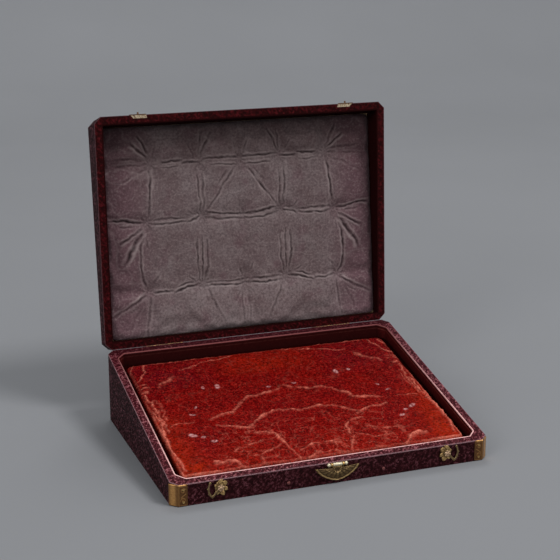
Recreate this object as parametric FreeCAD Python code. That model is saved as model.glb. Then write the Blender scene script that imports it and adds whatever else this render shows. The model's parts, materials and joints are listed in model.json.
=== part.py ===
"""Jewelry gift box: a wedge-shaped leather case with a padded base and a tufted lid.

Millimetres, +Z up. The origin is the middle of the underside, the front faces -Y.
The lid is designed shut, then every lid shape is turned about the hinge line into
its open rest position.
"""
import math
import os

import FreeCAD
import Part

Vec = FreeCAD.Vector

# ---------------------------------------------------------------- driving sizes
WIDTH = 280.0            # left to right
DEPTH = 208.0            # front to rear
FRONT_HEIGHT = 19.0      # base, at the front edge
REAR_HEIGHT = 64.8       # base, at the rear edge
CORNER = 5.8             # 45 degree cut on the four upright corners
LID_FRONT = 28.0         # lid thickness at its front edge
LID_REAR = 14.7          # lid thickness at the hinge
OPEN_ANGLE = 105.7       # lid, from shut to resting open
RIM_GAP = 0.3            # between the two rims when the lid is shut

LEATHER = 0.8            # outer leather, and the leather band on the rims
WALL_INSET = 6.4         # outer face to the inner face of the wooden walls
LINING = 1.2             # stiffened cloth lining of the inner walls
LINING_CORNER = 7.4      # 45 degree cut inside the corners
BEAD_WIDTH = 1.8         # pale bead along the inner edge of the base rim
BEAD_HEIGHT = 1.6

UNDERSIDE = 0.8          # covering sheet under the base
BOTTOM_BOARD = 3.5
PAD_BOARD_DEPTH = 13.8   # rim down to the top of the board that carries the pad
PAD_BOARD = 2.2
PAD_EDGE_DEPTH = 12.0    # rim down to the pad's edge, along the walls
PAD_SHOULDER_FRONT = 4.2  # rim down to the pad's shoulder
PAD_SHOULDER_REAR = 8.8
PAD_SHOULDER_INSET = 17.0
PAD_GAP = 0.3
LEDGER = 8.0             # width and height of the strips under the pad board

LID_PANEL = 3.0
LID_PAD = 5.0            # thickness of the tufted pad
LID_PAD_GAP = 0.3

HINGE_X = 84.0           # hinges, left and right of the middle
HINGE_LENGTH = 36.0
HINGE_OUT = 1.7          # hinge line behind the rear face
HINGE_DROP = 2.5         # hinge line below the base's rear edge
KNUCKLE_RADIUS = 1.5
KNUCKLE_COUNT = 5
KNUCKLE_GAP = 0.25
PIN_RADIUS = 0.8
BEARING = 0.05           # radial play of every pin
LEAF = 0.9
LEAF_BASE_LENGTH = 15.0
LEAF_LID_LENGTH = 12.0
LEAF_RELIEF = 0.1        # back of the lid's leaf, where it passes the base's rear edge
SCREW_PITCH = 12.0
SCREW_HEAD_RADIUS = 1.6
SCREW_SHANK_RADIUS = 0.8
SCREW_LENGTH = 5.0

LATCH_X = 100.0          # latch pivots, left and right of the middle
LATCH_Z = 12.0
LATCH_PLATE = 0.8
HOOK = 1.0               # thickness of the swinging hook
HOOK_CLEAR = 0.3         # hook to plate, and hook to rivet head
HOOK_HUB = 3.0
HOOK_INNER = 9.0
HOOK_OUTER = 11.0
HOOK_TIP = 150.0         # hook arc, degrees from +X, left latch at rest
HOOK_STEM = 226.0
RIVET_RADIUS = 1.0
RIVET_HEAD = 2.6
RIVET_HEAD_HEIGHT = 1.2
RIVET_LENGTH = 4.0
STUD_RADIUS = 0.8
STUD_UP = 7.8            # catch stud above the latch pivot, lid shut

CATCH = 0.6              # plate thickness of the lid catches
CATCH_HALF = 5.2
CATCH_HEIGHT = 8.0
CATCH_FOLD = 3.0         # part that folds on to the rim
CATCH_WING = 5.0         # short slanted piece beside the fold

MOUNT = 0.7              # brass corner mounts
MOUNT_FLANGE = 7.4
MOUNT_BOTTOM = 0.6
NAIL_RADIUS = 0.5
NAIL_HEAD = 1.0
NAIL_HEAD_HEIGHT = 0.5
NAIL_LENGTH = 4.0
STUD_X = 42.0            # two round studs on the front
STUD_Z = 6.5
STUD_HEAD = 1.4

BAR_Z = 17.2             # hinge bar of the fan-shaped flap
BAR_OUT = 1.9            # bar in front of the front face
BAR_RADIUS = 0.8
BALL_X = 7.6
BALL_RADIUS = 1.6
EAR_RADIUS = 1.4
EAR_INNER = 4.3
EAR_OUTER = 5.9
FAN_KNUCKLE = 4.0        # half length of the flap's own knuckle
FAN_HALF_WIDTH = 19.6
FAN_TOP = 15.2
FAN_BOTTOM = 2.9
FAN_SIDE = 3.4           # straight part at each end of the fan
FAN = 1.0
FAN_GAP = 1.4            # flap to leather: it hangs straight under its bar
FAN_RIM = 0.4            # raised border of the fan
BRACKET_HALF = 6.4
BRACKET_BOTTOM = 8.4

# ---------------------------------------------------------------- worked-out values
FRONT_Y = -DEPTH / 2
REAR_Y = DEPTH / 2
SLOPE = (REAR_HEIGHT - FRONT_HEIGHT) / DEPTH
LID_SLOPE = (LID_REAR - LID_FRONT) / DEPTH
CUT_SHRINK = 2 - math.sqrt(2)      # how fast a 45 degree cut shrinks with the inset
BOARD_TOP = UNDERSIDE + BOTTOM_BOARD
STOCK_LOW = -20.0
STOCK_HIGH = 140.0
HINGE_Y = REAR_Y + HINGE_OUT
HINGE_Z = REAR_HEIGHT - HINGE_DROP
HINGE_POINT = Vec(0, HINGE_Y, HINGE_Z)
KNUCKLE_ROOM = KNUCKLE_RADIUS + 0.4

parts = {}


# ---------------------------------------------------------------- surfaces and plans
def rim(offset=0.0):
    """The sloping plane between base and lid, moved up by offset."""
    return lambda y: FRONT_HEIGHT + SLOPE * (y - FRONT_Y) + offset


def lid_top(offset=0.0):
    """The upper face of the shut lid, moved up by offset."""
    return lambda y: rim(LID_FRONT + offset)(y) + LID_SLOPE * (y - FRONT_Y)


def level(z):
    return lambda y: z


def prism(points):
    """A tall block of stock with the given outline in plan."""
    corners = [Vec(x, y, STOCK_LOW) for x, y in points]
    outline = Part.makePolygon(corners + corners[:1])
    return Part.Face(outline).extrude(Vec(0, 0, STOCK_HIGH - STOCK_LOW))


def between(stock, low, high):
    """The part of the stock between two surfaces that slope along Y."""
    y0 = FRONT_Y - 20
    y1 = REAR_Y + 20
    side = [Vec(-WIDTH, y0, low(y0)), Vec(-WIDTH, y1, low(y1)),
            Vec(-WIDTH, y1, high(y1)), Vec(-WIDTH, y0, high(y0))]
    slab = Part.Face(Part.makePolygon(side + side[:1])).extrude(Vec(2 * WIDTH, 0, 0))
    return stock.common(slab)


def octagon(inset, cut):
    """The outline of the box moved inwards, with its corners cut at 45 degrees."""
    x = WIDTH / 2 - inset
    y = DEPTH / 2 - inset
    return [(x - cut, -y), (x, -y + cut), (x, y - cut), (x - cut, y),
            (-x + cut, y), (-x, y - cut), (-x, -y + cut), (-x + cut, -y)]


def outer(inset):
    return octagon(inset, CORNER - CUT_SHRINK * inset)


def inner(inset):
    return octagon(inset, LINING_CORNER - CUT_SHRINK * (inset - WALL_INSET))


def rectangle(inset):
    x = WIDTH / 2 - inset
    y = DEPTH / 2 - inset
    return [(-x, -y), (x, -y), (x, y), (-x, y)]


def ring(outside, inside):
    return prism(outside).cut(prism(inside))


def mitred_wall(half_length, half_across, side):
    """Plan of one wall: mitred at both ends, with half of each corner cut.

    The wall lies along its first coordinate, on the given side of the second one.
    """
    cut = CORNER - CUT_SHRINK * LEATHER
    along = half_length - LEATHER
    across = half_across - LEATHER
    points = [(along - cut, across), (along - cut / 2, across - cut / 2),
              (half_length - WALL_INSET, half_across - WALL_INSET),
              (-half_length + WALL_INSET, half_across - WALL_INSET),
              (-along + cut / 2, across - cut / 2), (-along + cut, across)]
    return [(u, side * v) for u, v in points]


def swapped(points):
    return [(y, x) for x, y in points]


WALL_PLANS = {
    "front": mitred_wall(WIDTH / 2, DEPTH / 2, -1),
    "rear": mitred_wall(WIDTH / 2, DEPTH / 2, 1),
    "left": swapped(mitred_wall(DEPTH / 2, WIDTH / 2, -1)),
    "right": swapped(mitred_wall(DEPTH / 2, WIDTH / 2, 1)),
}


# ---------------------------------------------------------------- small shapes
def rod(centre, direction, radius, length):
    return Part.makeCylinder(radius, length, centre, direction)


def pin_with_head(point, inwards, head, head_height, shank, length):
    """A nail or screw whose head rests on the surface at the given point."""
    body = rod(point, inwards, shank, length)
    cap = rod(point, -inwards, head, head_height)
    cap = cap.makeFillet(head_height * 0.6, [cap.Edges[0]]) if head_height > 0.9 else cap
    return body.fuse(cap).removeSplitter()


def box(x0, x1, y0, y1, z0, z1):
    return Part.makeBox(x1 - x0, y1 - y0, z1 - z0, Vec(x0, y0, z0))


def mirrored(shape):
    return shape.mirror(Vec(0, 0, 0), Vec(1, 0, 0))


def opened(shape):
    """Turn a shape of the shut lid to its open rest position."""
    turned = shape.copy()
    turned.rotate(HINGE_POINT, Vec(1, 0, 0), -OPEN_ANGLE)
    return turned


def bore(names, tools):
    """Make room in the named parts for the tools."""
    for name in names:
        for tool in tools:
            parts[name] = parts[name].cut(tool)


# ---------------------------------------------------------------- base carcass
BASE_WALL_TOP = rim(-RIM_GAP / 2 - LEATHER)
for side, plan in WALL_PLANS.items():
    parts["base_wall_" + side] = between(prism(plan), level(UNDERSIDE), BASE_WALL_TOP)
parts["base_bottom_board"] = between(prism(rectangle(WALL_INSET)), level(UNDERSIDE), level(BOARD_TOP))
parts["base_underside"] = between(prism(outer(LEATHER)), level(0), level(UNDERSIDE))

CORNER_NAMES = {"rear_right": (1, 1), "rear_left": (-1, 1), "front_left": (-1, -1), "front_right": (1, -1)}
for name, (sx, sy) in CORNER_NAMES.items():
    x = sx * (WIDTH / 2 - WALL_INSET)
    y = sy * (DEPTH / 2 - WALL_INSET)
    triangle = [(x, y), (x - sx * LINING_CORNER, y), (x, y - sy * LINING_CORNER)]
    parts["base_corner_block_" + name] = between(prism(triangle), level(BOARD_TOP), BASE_WALL_TOP)

parts["base_side_leather"] = between(ring(outer(0), outer(LEATHER)), level(0.2), BASE_WALL_TOP)
parts["base_rim_leather"] = between(ring(outer(0), inner(WALL_INSET)), BASE_WALL_TOP, rim(-RIM_GAP / 2))
parts["base_rim_bead"] = between(
    ring(inner(WALL_INSET), inner(WALL_INSET + BEAD_WIDTH)),
    rim(-RIM_GAP / 2 - BEAD_HEIGHT), rim(-RIM_GAP / 2))
parts["base_lining"] = between(
    ring(inner(WALL_INSET), inner(WALL_INSET + LINING)),
    rim(-PAD_BOARD_DEPTH), rim(-RIM_GAP / 2 - BEAD_HEIGHT))

# ---------------------------------------------------------------- base pad and its board
PAD_BOARD_TOP = rim(-PAD_BOARD_DEPTH)
PAD_BOARD_LOW = rim(-PAD_BOARD_DEPTH - PAD_BOARD)
parts["base_pad_board"] = between(prism(inner(WALL_INSET)), PAD_BOARD_LOW, PAD_BOARD_TOP)

ledger_x = WIDTH / 2 - WALL_INSET
ledger_y = DEPTH / 2 - WALL_INSET
ledger_end = ledger_y - LINING_CORNER - LEDGER
side_ledger = between(
    prism([(ledger_x - LEDGER, -ledger_end), (ledger_x, -ledger_end), (ledger_x, ledger_end),
           (ledger_x - LEDGER, ledger_end)]),
    rim(-PAD_BOARD_DEPTH - PAD_BOARD - LEDGER), PAD_BOARD_LOW)
side_ledger = between(side_ledger, level(BOARD_TOP), level(STOCK_HIGH))
parts["base_ledger_right"] = side_ledger
parts["base_ledger_left"] = mirrored(side_ledger)
rear_end = ledger_x - LINING_CORNER
parts["base_ledger_rear"] = between(
    prism([(-rear_end, ledger_y - LEDGER), (rear_end, ledger_y - LEDGER), (rear_end, ledger_y),
           (-rear_end, ledger_y)]),
    rim(-PAD_BOARD_DEPTH - PAD_BOARD - LEDGER), PAD_BOARD_LOW)


def outline_on(points, surface):
    corners = [Vec(x, y, surface(y)) for x, y in points]
    return Part.makePolygon(corners + corners[:1])


def pad_shoulder(y):
    share = (y - FRONT_Y) / DEPTH
    return rim(-PAD_SHOULDER_FRONT - (PAD_SHOULDER_REAR - PAD_SHOULDER_FRONT) * share)(y)


pad_plan = inner(WALL_INSET + LINING + PAD_GAP)
pad_foot = between(prism(pad_plan), PAD_BOARD_TOP, rim(-PAD_EDGE_DEPTH))
pad_crown = Part.makeLoft(
    [outline_on(pad_plan, rim(-PAD_EDGE_DEPTH)), outline_on(inner(PAD_SHOULDER_INSET), pad_shoulder)],
    True, True)
parts["base_pad"] = pad_foot.fuse(pad_crown).removeSplitter()

# ---------------------------------------------------------------- lid, shut
LID_RIM = rim(RIM_GAP / 2)
LID_WALL_LOW = rim(RIM_GAP / 2 + LEATHER)
LID_WALL_TOP = lid_top(-LEATHER)
LID_PANEL_LOW = lid_top(-LEATHER - LID_PANEL)
for side, plan in WALL_PLANS.items():
    parts["lid_wall_" + side] = between(prism(plan), LID_WALL_LOW, LID_WALL_TOP)
parts["lid_panel"] = between(prism(rectangle(WALL_INSET)), LID_PANEL_LOW, LID_WALL_TOP)
lid_sides = between(ring(outer(0), outer(LEATHER)), LID_WALL_LOW, lid_top())
lid_cover = between(prism(outer(0)), LID_WALL_TOP, lid_top())
parts["lid_side_leather"] = lid_sides.fuse(lid_cover).removeSplitter()
parts["lid_rim_leather"] = between(ring(outer(0), rectangle(WALL_INSET)), LID_RIM, LID_WALL_LOW)
lining_edge = WALL_INSET + LINING
parts["lid_lining"] = between(ring(rectangle(WALL_INSET), rectangle(lining_edge)), LID_RIM, LID_PANEL_LOW)
parts["lid_pad"] = between(
    prism(octagon(lining_edge + LID_PAD_GAP, LEATHER)),
    lid_top(-LEATHER - LID_PANEL - LID_PAD), LID_PANEL_LOW)

# ---------------------------------------------------------------- hinges
def on_hinge(x0, x1, radius):
    return rod(Vec(x0, HINGE_Y, HINGE_Z), Vec(1, 0, 0), radius, x1 - x0)


segment = HINGE_LENGTH / KNUCKLE_COUNT
base_screws = []
lid_screws = []
for name, middle in {"left": -HINGE_X, "right": HINGE_X}.items():
    start = middle - HINGE_LENGTH / 2
    end = middle + HINGE_LENGTH / 2
    base_leaf = box(start, end, REAR_Y, REAR_Y + LEAF, HINGE_Z - LEAF_BASE_LENGTH, HINGE_Z)
    lid_leaf = box(start, end, REAR_Y, REAR_Y + LEAF, HINGE_Z, HINGE_Z + LEAF_LID_LENGTH)
    lid_leaf = lid_leaf.cut(box(start, end, REAR_Y, REAR_Y + LEAF_RELIEF, HINGE_Z, REAR_HEIGHT + LEAF_RELIEF))
    for index in range(KNUCKLE_COUNT):
        x0 = start + index * segment
        x1 = x0 + segment
        room = on_hinge(x0, x1, KNUCKLE_ROOM)
        knuckle = on_hinge(x0 + KNUCKLE_GAP / 2, x1 - KNUCKLE_GAP / 2, KNUCKLE_RADIUS)
        on_base = index % 2 == 0
        base_leaf = base_leaf.fuse(knuckle) if on_base else base_leaf.cut(room)
        lid_leaf = lid_leaf.cut(room) if on_base else lid_leaf.fuse(knuckle)
    hole = on_hinge(start - 1, end + 1, PIN_RADIUS + BEARING)
    parts["hinge_leaf_base_" + name] = base_leaf.cut(hole).removeSplitter()
    parts["hinge_leaf_lid_" + name] = lid_leaf.cut(hole).removeSplitter()
    parts["hinge_pin_" + name] = on_hinge(start, end, PIN_RADIUS)

    for step in (-1, 0, 1):
        low = Vec(middle + step * SCREW_PITCH, REAR_Y + LEAF, HINGE_Z - LEAF_BASE_LENGTH + 5)
        high = Vec(middle + step * SCREW_PITCH, REAR_Y + LEAF, HINGE_Z + LEAF_LID_LENGTH - 4)
        for point, group in ((low, base_screws), (high, lid_screws)):
            group.append(pin_with_head(point, Vec(0, -1, 0), SCREW_HEAD_RADIUS, 0.4,
                                       SCREW_SHANK_RADIUS, SCREW_LENGTH))
    bore(["hinge_leaf_base_" + name], base_screws[-3:])
    bore(["hinge_leaf_lid_" + name], lid_screws[-3:])
bore(["base_wall_rear", "base_side_leather"], base_screws)
bore(["lid_wall_rear", "lid_side_leather"], lid_screws)
parts["hinge_screws_base"] = Part.makeCompound(base_screws)
parts["hinge_screws_lid"] = Part.makeCompound(lid_screws)


# ---------------------------------------------------------------- latches on the base front
def on_front(x, z, out=0.0):
    return Vec(x, FRONT_Y - out, z)


def disc(x, z, out, radius, thickness):
    """A flat disc parallel to the front face, its inner face at the given distance out."""
    return rod(on_front(x, z, out), Vec(0, -1, 0), radius, thickness)


OUTWARDS = Vec(0, -1, 0)
INWARDS = Vec(0, 1, 0)
hook_out = LATCH_PLATE + HOOK_CLEAR

# left latch: a scroll-edged plate, a hook that swings over the catch, and a rivet
latch_plate = disc(-LATCH_X, LATCH_Z, 0, 4.2, LATCH_PLATE)
for dx, dz, radius in ((0.0, 4.0, 2.3), (3.6, 2.6, 2.0), (3.4, -2.0, 1.8), (0.4, -4.6, 2.2), (-2.6, -4.2, 1.6)):
    latch_plate = latch_plate.fuse(disc(-LATCH_X + dx, LATCH_Z + dz, 0, radius, LATCH_PLATE))
rivet_hole = disc(-LATCH_X, LATCH_Z, -10, RIVET_RADIUS + BEARING, 20)

hook_centre = on_front(-LATCH_X, LATCH_Z, hook_out)
arc_span = HOOK_STEM - HOOK_TIP
hook_mid = (HOOK_INNER + HOOK_OUTER) / 2
hook_half = (HOOK_OUTER - HOOK_INNER) / 2
arc_stock = Part.makeCylinder(HOOK_OUTER, HOOK, Vec(0, 0, 0), Vec(0, 0, 1), arc_span)
arc_stock = arc_stock.cut(Part.makeCylinder(HOOK_INNER, HOOK * 3, Vec(0, 0, -HOOK)))
arc_stock.rotate(Vec(0, 0, 0), Vec(0, 0, 1), HOOK_TIP)
arc_stock.rotate(Vec(0, 0, 0), Vec(1, 0, 0), 90)
arc_stock.translate(hook_centre)
tip_angle = math.radians(HOOK_TIP)
stem_angle = math.radians(HOOK_STEM)
tip_x = -LATCH_X + hook_mid * math.cos(tip_angle)
tip_z = LATCH_Z + hook_mid * math.sin(tip_angle)
tip = disc(tip_x, tip_z, hook_out, hook_half * 1.15, HOOK)
stem = Part.makeBox(hook_mid, HOOK, 2 * hook_half, Vec(0, -HOOK, -hook_half))
stem.rotate(Vec(0, 0, 0), Vec(0, 1, 0), -HOOK_STEM)
stem.translate(hook_centre)
elbow = disc(-LATCH_X + hook_mid * math.cos(stem_angle), LATCH_Z + hook_mid * math.sin(stem_angle),
             hook_out, hook_half, HOOK)
hub = disc(-LATCH_X, LATCH_Z, hook_out, HOOK_HUB, HOOK)
latch_hook = hub.fuse([arc_stock, tip, stem, elbow]).removeSplitter().cut(rivet_hole)

head_out = hook_out + HOOK + HOOK_CLEAR
rivet = rod(on_front(-LATCH_X, LATCH_Z, head_out), INWARDS, RIVET_RADIUS, head_out + RIVET_LENGTH)
rivet_cap = disc(-LATCH_X, LATCH_Z, head_out, RIVET_HEAD, RIVET_HEAD_HEIGHT)
latch_rivet = rivet.fuse(rivet_cap).removeSplitter()
latch_plate = latch_plate.removeSplitter().cut(rivet)
latch_nails = [pin_with_head(on_front(-LATCH_X + dx, LATCH_Z + dz, LATCH_PLATE), INWARDS,
                             NAIL_HEAD * 0.8, 0.25, NAIL_RADIUS, NAIL_LENGTH)
               for dx, dz in ((3.8, 3.0), (0.6, -5.0))]
for nail in latch_nails:
    latch_plate = latch_plate.cut(nail)
latch_nails = latch_nails + [mirrored(nail) for nail in latch_nails]
for name, place in {"left": lambda shape: shape, "right": mirrored}.items():
    parts["latch_plate_" + name] = place(latch_plate)
    parts["latch_hook_" + name] = place(latch_hook)
    parts["latch_rivet_" + name] = place(latch_rivet)
    bore(["base_wall_front", "base_side_leather"], [parts["latch_rivet_" + name]])
parts["latch_nails"] = Part.makeCompound(latch_nails)
bore(["base_wall_front", "base_side_leather"], latch_nails)

# ---------------------------------------------------------------- catches on the lid front
catch_z = FRONT_HEIGHT + RIM_GAP / 2
face_plate = box(-LATCH_X - CATCH_HALF, -LATCH_X + CATCH_HALF, FRONT_Y - CATCH, FRONT_Y, catch_z,
                 catch_z + CATCH_HEIGHT)
fold_stock = prism([(-LATCH_X - CATCH_HALF + 2, FRONT_Y - CATCH), (-LATCH_X + CATCH_HALF + 2, FRONT_Y - CATCH),
                    (-LATCH_X + CATCH_HALF + 3, FRONT_Y + CATCH_FOLD),
                    (-LATCH_X - CATCH_HALF + 2, FRONT_Y + CATCH_FOLD)])
wing_x = -LATCH_X - CATCH_HALF - 2.6
wing_stock = prism([(wing_x, FRONT_Y - CATCH), (wing_x + 2.2, FRONT_Y - CATCH),
                    (wing_x + CATCH_WING + 1.2, FRONT_Y + CATCH_FOLD),
                    (wing_x + CATCH_WING - 1.4, FRONT_Y + CATCH_FOLD)])
wing_strip = prism([(wing_x, FRONT_Y - CATCH), (-LATCH_X, FRONT_Y - CATCH), (-LATCH_X, FRONT_Y),
                    (wing_x, FRONT_Y)])
catch_low = rim(RIM_GAP / 2)
catch_high = rim(RIM_GAP / 2 + CATCH)
folds = [between(stock, catch_low, catch_high) for stock in (fold_stock, wing_stock)]
strip = between(wing_strip, catch_low, rim(RIM_GAP / 2 + 3 * CATCH))
catch_stud = disc(-LATCH_X, LATCH_Z + STUD_UP, 0, STUD_RADIUS, hook_out + HOOK + 0.3)
lid_catch = face_plate.fuse(folds + [strip, catch_stud])
lid_catch = between(lid_catch, catch_low, level(STOCK_HIGH)).removeSplitter()
catch_nails = [pin_with_head(on_front(-LATCH_X + dx, catch_z + CATCH_HEIGHT - 2.2, CATCH), INWARDS,
                             NAIL_HEAD * 0.8, 0.25, NAIL_RADIUS, NAIL_LENGTH) for dx in (-3.4, 3.4)]
for nail in catch_nails:
    lid_catch = lid_catch.cut(nail)
catch_nails = catch_nails + [mirrored(nail) for nail in catch_nails]
parts["lid_catch_left"] = lid_catch
parts["lid_catch_right"] = mirrored(lid_catch)
parts["lid_catch_nails"] = Part.makeCompound(catch_nails)
bore(["lid_rim_leather", "lid_side_leather"], [lid_catch, mirrored(lid_catch)])
bore(["lid_wall_front", "lid_side_leather"], catch_nails)


# ---------------------------------------------------------------- brass corner mounts
def mount_outline(offset, flange):
    """Plan of the outer or inner face of the left mount, from its flange to its side edge."""
    x = -WIDTH / 2
    y = FRONT_Y
    grow = offset * math.tan(math.radians(22.5))
    return [(x + CORNER + flange, y - offset), (x + CORNER - grow, y - offset),
            (x - offset, y + CORNER - grow), (x - offset, y + CORNER + 0.6)]


mount_points = mount_outline(MOUNT, MOUNT_FLANGE) + mount_outline(0.0, MOUNT_FLANGE)[::-1]
corner_mount = between(prism(mount_points), level(MOUNT_BOTTOM), rim(-RIM_GAP / 2 - 0.2))
mount_nails = [pin_with_head(on_front(-WIDTH / 2 + CORNER + MOUNT_FLANGE / 2, z, MOUNT), INWARDS,
                             NAIL_HEAD, NAIL_HEAD_HEIGHT, NAIL_RADIUS, NAIL_LENGTH) for z in (4.0, 14.6)]
for nail in mount_nails:
    corner_mount = corner_mount.cut(nail)
mount_nails = mount_nails + [mirrored(nail) for nail in mount_nails]
parts["corner_mount_left"] = corner_mount
parts["corner_mount_right"] = mirrored(corner_mount)
parts["corner_mount_nails"] = Part.makeCompound(mount_nails)
bore(["base_wall_front", "base_side_leather"], mount_nails)

front_studs = [pin_with_head(on_front(x, STUD_Z), INWARDS, STUD_HEAD, 1.0, NAIL_RADIUS, NAIL_LENGTH)
               for x in (-STUD_X, STUD_X)]
parts["front_studs"] = Part.makeCompound(front_studs)
bore(["base_wall_front", "base_side_leather"], front_studs)

# ---------------------------------------------------------------- fan-shaped flap and its hinge bar
bar_y = FRONT_Y - BAR_OUT


def along_bar(x0, x1, radius):
    return rod(Vec(x0, bar_y, BAR_Z), Vec(1, 0, 0), radius, x1 - x0)


bar = along_bar(-BALL_X, BALL_X, BAR_RADIUS)
balls = [Part.makeSphere(BALL_RADIUS, Vec(x, bar_y, BAR_Z)) for x in (-BALL_X, BALL_X)]
parts["flap_pin"] = bar.fuse(balls).removeSplitter()

bracket_top = FRONT_HEIGHT - RIM_GAP / 2 - LEATHER - 0.05
bracket = box(-BRACKET_HALF, BRACKET_HALF, FRONT_Y, FRONT_Y + LEATHER, BRACKET_BOTTOM, bracket_top)
bracket_seat = bracket.copy()
for x0 in (-EAR_OUTER, EAR_INNER):
    x1 = x0 + EAR_OUTER - EAR_INNER
    web = box(x0, x1, bar_y, FRONT_Y + LEATHER / 2, BAR_Z - EAR_RADIUS, bracket_top)
    bracket = bracket.fuse([along_bar(x0, x1, EAR_RADIUS), web])
bracket = bracket.cut(along_bar(-BALL_X - 5, BALL_X + 5, BAR_RADIUS))
flap_nails = [pin_with_head(Vec(x, FRONT_Y + 0.1, BRACKET_BOTTOM + 2.4), INWARDS, NAIL_HEAD * 0.8, 0.3,
                            NAIL_RADIUS, NAIL_LENGTH) for x in (-3.6, 3.6)]
for nail in flap_nails:
    bracket = bracket.cut(nail)
parts["flap_bracket"] = bracket.removeSplitter()
parts["flap_nails"] = Part.makeCompound(flap_nails)
bore(["base_side_leather"], [bracket_seat])
bore(["base_wall_front", "base_side_leather"], flap_nails)

fan_side_z = FAN_TOP - FAN_SIDE


def fan_blade(shrink, out, thickness):
    """The fan: a half ellipse under two short straight sides."""
    half = FAN_HALF_WIDTH - shrink
    drop = fan_side_z - FAN_BOTTOM - shrink
    steps = 24
    rim_points = [on_front(half * math.cos(math.pi * k / steps), fan_side_z - drop * math.sin(math.pi * k / steps),
                           out) for k in range(steps + 1)]
    curve = Part.BSplineCurve()
    curve.interpolate(rim_points)
    top = FAN_TOP - shrink
    left = on_front(-half, top, out)
    right = on_front(half, top, out)
    edges = [curve.toShape(), Part.makeLine(rim_points[-1], left), Part.makeLine(left, right),
             Part.makeLine(right, rim_points[0])]
    return Part.Face(Part.Wire(edges)).extrude(Vec(0, -thickness, 0))


fan = fan_blade(0.0, FAN_GAP, FAN).fuse(fan_blade(0.0, FAN_GAP + FAN, FAN_RIM))
fan = fan.cut(fan_blade(1.4, FAN_GAP + FAN, FAN_RIM * 2))
neck = box(-FAN_KNUCKLE, FAN_KNUCKLE, FRONT_Y - FAN_GAP - FAN, FRONT_Y - FAN_GAP, FAN_TOP - 1, BAR_Z)
fan = fan.fuse([neck, along_bar(-FAN_KNUCKLE, FAN_KNUCKLE, EAR_RADIUS)])
ear_room = box(-EAR_OUTER - 0.4, EAR_OUTER + 0.4, FRONT_Y - 6, FRONT_Y, BAR_Z - EAR_RADIUS - 0.4, BAR_Z + 5)
ear_room = ear_room.cut(box(-FAN_KNUCKLE, FAN_KNUCKLE, FRONT_Y - 7, FRONT_Y + 1, 0, BAR_Z + 6))
fan = fan.cut(ear_room).cut(along_bar(-BALL_X, BALL_X, BAR_RADIUS + BEARING))
parts["flap_fan"] = fan.removeSplitter()

# ---------------------------------------------------------------- open the lid and write the parts
for name in list(parts):
    if name.startswith("lid_") or name in ("hinge_leaf_lid_left", "hinge_leaf_lid_right", "hinge_screws_lid"):
        parts[name] = opened(parts[name])

os.makedirs("parts", exist_ok=True)
for name, shape in parts.items():
    if not shape.isValid():
        raise ValueError(name + " is not a valid shape")
    shape.exportStep("parts/" + name + ".step")
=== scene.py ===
"""Jewelry gift box: its looks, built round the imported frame.

Metres, +Z up, the front faces -Y. Sizes are in millimetres times MM, and in plain millimetres
where a comment says so. Lid pieces are shaped as the lid lies shut, then turned about the hinge
to where the lid rests open.
"""
import json
import math

import bmesh
import bpy
import numpy as np
from mathutils import Matrix, Vector


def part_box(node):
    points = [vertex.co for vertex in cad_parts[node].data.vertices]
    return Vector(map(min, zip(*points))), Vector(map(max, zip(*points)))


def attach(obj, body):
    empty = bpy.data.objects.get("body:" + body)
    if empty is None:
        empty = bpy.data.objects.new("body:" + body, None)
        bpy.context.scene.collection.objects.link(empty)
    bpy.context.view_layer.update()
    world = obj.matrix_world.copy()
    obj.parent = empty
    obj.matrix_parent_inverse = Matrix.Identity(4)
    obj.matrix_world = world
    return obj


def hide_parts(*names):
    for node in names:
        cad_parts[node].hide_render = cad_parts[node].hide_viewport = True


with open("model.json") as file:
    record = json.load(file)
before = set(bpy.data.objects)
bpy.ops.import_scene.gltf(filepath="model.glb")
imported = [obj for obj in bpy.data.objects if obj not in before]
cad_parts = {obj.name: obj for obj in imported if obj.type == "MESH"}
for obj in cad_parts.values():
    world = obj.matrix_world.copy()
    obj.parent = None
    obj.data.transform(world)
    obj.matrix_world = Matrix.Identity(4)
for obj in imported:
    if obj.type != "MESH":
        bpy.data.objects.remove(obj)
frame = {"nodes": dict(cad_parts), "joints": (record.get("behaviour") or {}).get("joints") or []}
nodes = frame["nodes"]
joints = {joint["name"]: joint for joint in frame["joints"]}
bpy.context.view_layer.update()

# ------------ sizes
MM = 0.001
LEATHER = 0.8 * MM
WALL = 6.4 * MM           # outer face to the inner face of the walls
PAD_INSET = 7.9 * MM      # outer face to the edge of either pad
LINING_CUT = 7.4 * MM     # 45 degree cut of the corners inside the walls

rim_low, rim_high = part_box("base_rim_leather")
HALF_X = rim_high.x
HALF_Y = rim_high.y
RIM_FRONT = rim_low.z + LEATHER
SLOPE = (rim_high.z - RIM_FRONT) / (2 * HALF_Y)
CUT = 5.8 * MM            # 45 degree cut of the outer corners

HINGE = Vector(joints["lid_hinge"]["pos_m"])
OPEN_ANGLE = math.radians(joints["lid_hinge"]["range_deg"][1])


def turn_about(point, angle):
    return Matrix.Translation(point) @ Matrix.Rotation(angle, 4, "X") @ Matrix.Translation(-point)


TO_REST = turn_about(HINGE, -OPEN_ANGLE)
TO_SHUT = turn_about(HINGE, OPEN_ANGLE)


def rim_height(y):
    """Height of the base's sloping rim."""
    return RIM_FRONT + SLOPE * (y + HALF_Y)


def lid_pad_plane():
    """Where the lid's pad meets its board, as the lid lies shut: y and z at its front, then at its rear."""
    corners = [TO_SHUT @ vertex.co for vertex in nodes["lid_pad"].data.vertices]
    front_y = min(corner.y for corner in corners)
    rear_y = max(corner.y for corner in corners)
    front = max(corner.z for corner in corners if corner.y < front_y + MM)
    rear = max(corner.z for corner in corners if corner.y > rear_y - MM)
    return front_y, front, rear_y, rear


# ------------ arrays of points
def clamp(value):
    return np.clip(value, 0.0, 1.0)


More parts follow.
